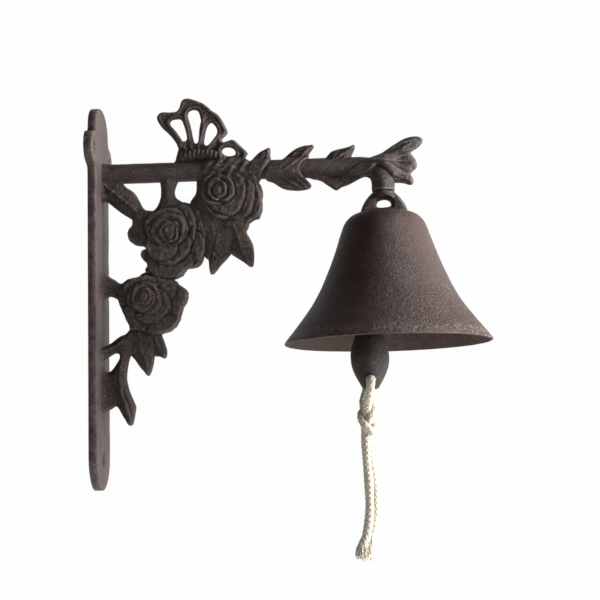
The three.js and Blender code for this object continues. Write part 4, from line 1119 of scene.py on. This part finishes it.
def butterfly(uv, d):
    x, z = uv[:, 0], uv[:, 1]
    h = 1.6 + 0.50 * np.exp(-(((d - 1.25) / 0.8) ** 2))
    for line in RIBS:
        h = h + ridge(uv, line, 0.8, 0.55)
    body_d = line_distance(uv, np.array(BODY_LINE))
    swell = np.sqrt(np.clip(1 - (body_d / 2.9) ** 2, 0, 1))
    h = np.maximum(h, 4.6 * swell * (0.90 + 0.10 * np.cos(x * 2.75)) + 0.4)
    head = np.hypot((x - 45.8) / 2.6, (z - 173.3) / 2.4)
    h = np.maximum(h, 4.0 * np.sqrt(np.clip(1 - head**2, 0, 1)) + 0.3)
    foot = np.abs(z - ARM_Z)
    on = smooth((x - 52.0) / 12.0)
    r = 4.95 + 1.2 * on
    cover = np.sqrt(np.clip(r**2 - np.clip(foot, 0, r) ** 2 * (1 - 0.3 * on), 0, None)) * smooth((8.6 - foot) / 3.2)
    fold = np.sin(0.62 * x + 0.5 * z) * np.sin(0.75 * z - 0.33 * x + 1.2) + 0.6 * np.sin(1.3 * x - 0.9 * z)
    h = np.maximum(h, cover + 0.40 * on * fold * smooth((8.6 - foot) / 3.2))
    return h


cast("butterfly_cast", BUTTERFLY, butterfly, ("butterfly",), holes=[BF_HOLE1, BF_HOLE2, BF_HOLE3, BF_HOLE4],
     step=0.5, edge=1.0, bumpy=(0.08, 4.0), rim=0.45)


def hug(over, thin, crown_, veins, rib=0.45, rib_w=0.55, upto=400.0, radius=5.15):
    flat = leaf(thin, crown_, veins, rib, rib_w)

    def height(uv, d):
        z = np.abs(uv[:, 1] - ARM_Z)
        r = radius + over
        around = np.where(z < r, np.sqrt(np.clip(r * r - z * z, 0, None)), 0.0)
        extra = flat(uv, d) - thin
        h = np.maximum(around + 0.55 * extra, thin + extra)
        return h
    return height


cast("arm_leaf_by_butterfly_cast", ARM_LEAF_BY, hug(0.8, 1.5, 1.0, VEINS["by"], 0.6, 0.6), ("arm_leaf_by_butterfly",),
     edge=1.3, step=0.5)
cast("arm_leaf_inner_cast", ARM_LEAF_1, hug(0.9, 1.5, 1.1, VEINS["l1"], 0.6, 0.6), ("arm_leaf_inner_top", "arm_leaf_inner_low"),
     edge=1.3, step=0.5)
cast("arm_leaf_outer_cast", ARM_LEAF_2, leaf(1.6, 1.7, VEINS["l2"], 0.55, 0.6), ("arm_leaf_outer_top",),
     edge=1.2, step=0.5)


def sheath(uv, d):
    z, x = uv[:, 1], uv[:, 0]
    centre = ARM_Z - 4.5 * smooth((x - 143) / 9.0)
    r = 4.7 + 1.35 * smooth((x - 124.5) / 7.0) + 1.1 * smooth((x - 141) / 8.0)
    q = np.abs(z - centre)
    around = np.where(q < r, np.sqrt(np.clip(r * r - q * q, 0, None)), 0.0)
    extra = leaf(0, 0.9, VEINS["l2l"], 0.4, 0.6)(uv, d)
    return np.maximum(around + 0.35 * extra, 1.7 + extra)


cast("arm_leaf_sheath_cast", ARM_LEAF_2LOW, sheath, ("arm_leaf_outer_low",), edge=1.5, step=0.5)
def over_elbow(height, top):
    """The root of the end leaves lies over the bend of the arm."""
    def taller(uv, d):
        return height(uv, d) + np.maximum(0, top - 3.2) * smooth((163.0 - uv[:, 0]) / 11.0)
    return taller


cast("end_leaf_top_cast", END_TOP, leaf(1.7, 2.0, VEINS["et"], 0.6, 0.6, span=5.0), ("end_leaf_top",), edge=1.3, step=0.5)
cast("end_leaf_middle_cast", END_MID, over_elbow(leaf(2.2, 2.2, VEINS["em"], 0.6, 0.7, span=3.0), 6.4), ("end_leaf_middle",),
     edge=1.6, step=0.5)
cast("end_leaf_low_cast", END_LOW, over_elbow(leaf(1.8, 1.8, VEINS["el"], 0.5, 0.7, span=4.0), 5.2), ("end_leaf_low",),
     edge=1.4, step=0.5)

# wall plate
PW, PH, EZ, EY, ER = 18.0, 201.0, 176.0, 20.5, 8.6
plate = [(PW * math.cos(a), PW + PW * math.sin(a)) for a in np.linspace(math.pi, 2 * math.pi, 25)]
plate += [(PW, z) for z in np.linspace(20, EZ - ER - 6, 40)]
plate += [(PW + 0.1, EZ - ER - 3.2), (PW + 0.8, EZ - ER - 1.2)]
plate += [(EY + ER * math.cos(a), EZ + ER * math.sin(a)) for a in np.linspace(-math.pi / 2.4, math.pi / 2.4, 19)]
plate += [(PW + 0.4, EZ + ER + 0.6), (PW - 0.6, EZ + ER + 2.4)]
TZ = EZ + ER + 4
plate += [((PW - 1) * math.cos(a), TZ + (PH - TZ) * math.sin(a)) for a in np.linspace(0.02, math.pi - 0.02, 25)]
mirror = [(-y, z) for y, z in plate[25:25 + 40 + 2 + 19 + 2]]
plate += mirror[::-1]
plate = np.array(plate)
gaps = np.linalg.norm(np.roll(plate, -1, 0) - plate, axis=1)
plate = np.vstack([
    plate[i] + (np.roll(plate, -1, 0)[i] - plate[i]) * np.linspace(0, 1, max(1, round(gaps[i] / 0.8)), endpoint=False)[:, None]
    for i in range(len(plate)) if gaps[i] > 1e-6])


def ring_hole(y, z, r):
    return [(y + r * math.cos(a), z + r * math.sin(a)) for a in np.linspace(0, 2 * math.pi, 29)[:-1]]


def plate_front(uv, d):
    h = np.full(len(uv), 4.5)
    for y, z in ((-21.5, 176.0), (21.5, 176.0), (0.0, 16.0)):
        r = np.hypot(uv[:, 0] - y, uv[:, 1] - z)
        h = h - 0.95 * smooth((4.3 - r) / 1.5)
    arm_r_ = np.hypot(uv[:, 0], uv[:, 1] - ARM_Z)
    return h + 0.5 * np.exp(-((arm_r_ / 8.5) ** 4))


def plate_edge(d):
    return 0.80 + 0.20 * np.sqrt(np.clip(1 - (1 - np.clip(d / 0.95, 0, 1)) ** 2, 0, 1))


relief("wall_plate_cast", plate, plate_front, plate_iron, "bracket", "plate_iron", ("wall_plate",),
       holes=[ring_hole(-21.5, 176, 2.8), ring_hole(21.5, 176, 2.8), ring_hole(0, 16, 2.8)], step=1.0, edge=0.95, y0=-1.2,
       back=lambda uv, d: np.zeros(len(uv)), edge_shape=plate_edge, plane="YZ", bumpy=(0.14, 9.0), soft=False, rim=0.5)

# ------------------------------------------------------------------------------------ stage
def stage_mesh(name, verts, faces, colour, rough=0.9):
    n = Nodes(name + "_paint")
    tint = n.ramp(n.noise(3.0, 3, 0.5), [(0.3, tuple(0.985 * c for c in colour)), (0.7, colour)])
    n.link(tint, n.shader.inputs["Base Color"])
    n.shader.inputs["Roughness"].default_value = rough
    mesh = bpy.data.meshes.new(name)
    mesh.from_pydata(verts, [], faces)
    obj = bpy.data.objects.new(name, mesh)
    mesh.materials.append(n.mat)
    scene.collection.objects.link(obj)
    return obj


R_FLOOR = 1.1
disc = [(0.08 + R_FLOOR * math.cos(a), R_FLOOR * math.sin(a), -0.40) for a in np.linspace(0, 2 * math.pi, 97)[:-1]]
stage_mesh("floor", disc, [tuple(range(96))], (0.86, 0.86, 0.85))

world = bpy.data.worlds.new("studio")
scene.world = world
world.use_nodes = True
wt = world.node_tree
bg = wt.nodes["Background"]
wout = wt.nodes["World Output"]
geo = wt.nodes.new("ShaderNodeTexCoord")
sep = wt.nodes.new("ShaderNodeSeparateXYZ")
wt.links.new(geo.outputs["Generated"], sep.inputs[0])
ramp = wt.nodes.new("ShaderNodeValToRGB")
across = wt.nodes.new("ShaderNodeMath")  # brightest behind and to the right
across.operation = "MULTIPLY_ADD"
across.inputs[1].default_value = 0.75
wt.links.new(sep.outputs[0], across.inputs[0])
wt.links.new(sep.outputs[1], across.inputs[2])
mapr = wt.nodes.new("ShaderNodeMapRange")
mapr.inputs["From Min"].default_value = -1.25
mapr.inputs["From Max"].default_value = 1.25
wt.links.new(across.outputs[0], mapr.inputs["Value"])
wt.links.new(mapr.outputs["Result"], ramp.inputs["Fac"])
els = ramp.color_ramp.elements
els[0].position, els[0].color = 0.0, (0.060, 0.060, 0.062, 1)
els[1].position, els[1].color = 1.0, (1.05, 1.05, 1.06, 1)
e = els.new(0.45)
e.color = (0.10, 0.10, 0.103, 1)
e = els.new(0.74)
e.color = (0.95, 0.95, 0.96, 1)
wt.links.new(ramp.outputs["Color"], bg.inputs["Color"])
bg.inputs["Strength"].default_value = 0.75
seen = wt.nodes.new("ShaderNodeBackground")
seen.inputs["Color"].default_value = (0.985, 0.985, 0.985, 1)
seen.inputs["Strength"].default_value = 1.0
lp = wt.nodes.new("ShaderNodeLightPath")
mx = wt.nodes.new("ShaderNodeMixShader")
wt.links.new(lp.outputs["Is Camera Ray"], mx.inputs[0])
wt.links.new(bg.outputs[0], mx.inputs[1])
wt.links.new(seen.outputs[0], mx.inputs[2])
wt.links.new(mx.outputs[0], wout.inputs["Surface"])


def area_light(name, place, target, size, watts, colour=(1, 1, 1), size_y=None):
    data = bpy.data.lights.new(name, "AREA")
    data.energy, data.size, data.color = watts, size, colour
    if size_y:
        data.shape, data.size_y = "RECTANGLE", size_y
    obj = bpy.data.objects.new(name, data)
    scene.collection.objects.link(obj)
    obj.location = place
    obj.rotation_mode = "QUATERNION"
    obj.rotation_quaternion = (Vector(target) - Vector(place)).to_track_quat("-Z", "Y")
    return obj


area_light("key", (1.00, -0.09, 0.20), (0.09, 0, 0.0), 0.40, 29.0, (1.0, 0.99, 0.975), 0.6)
area_light("side", (0.90, 0.10, 0.05), (0.10, 0, 0.0), 0.30, 4.0, (1.0, 1.0, 1.0), 0.7)
area_light("fill", (-0.55, -0.85, 0.20), (0.0, 0, 0.03), 0.5, 2.1, (1.0, 0.99, 0.98))
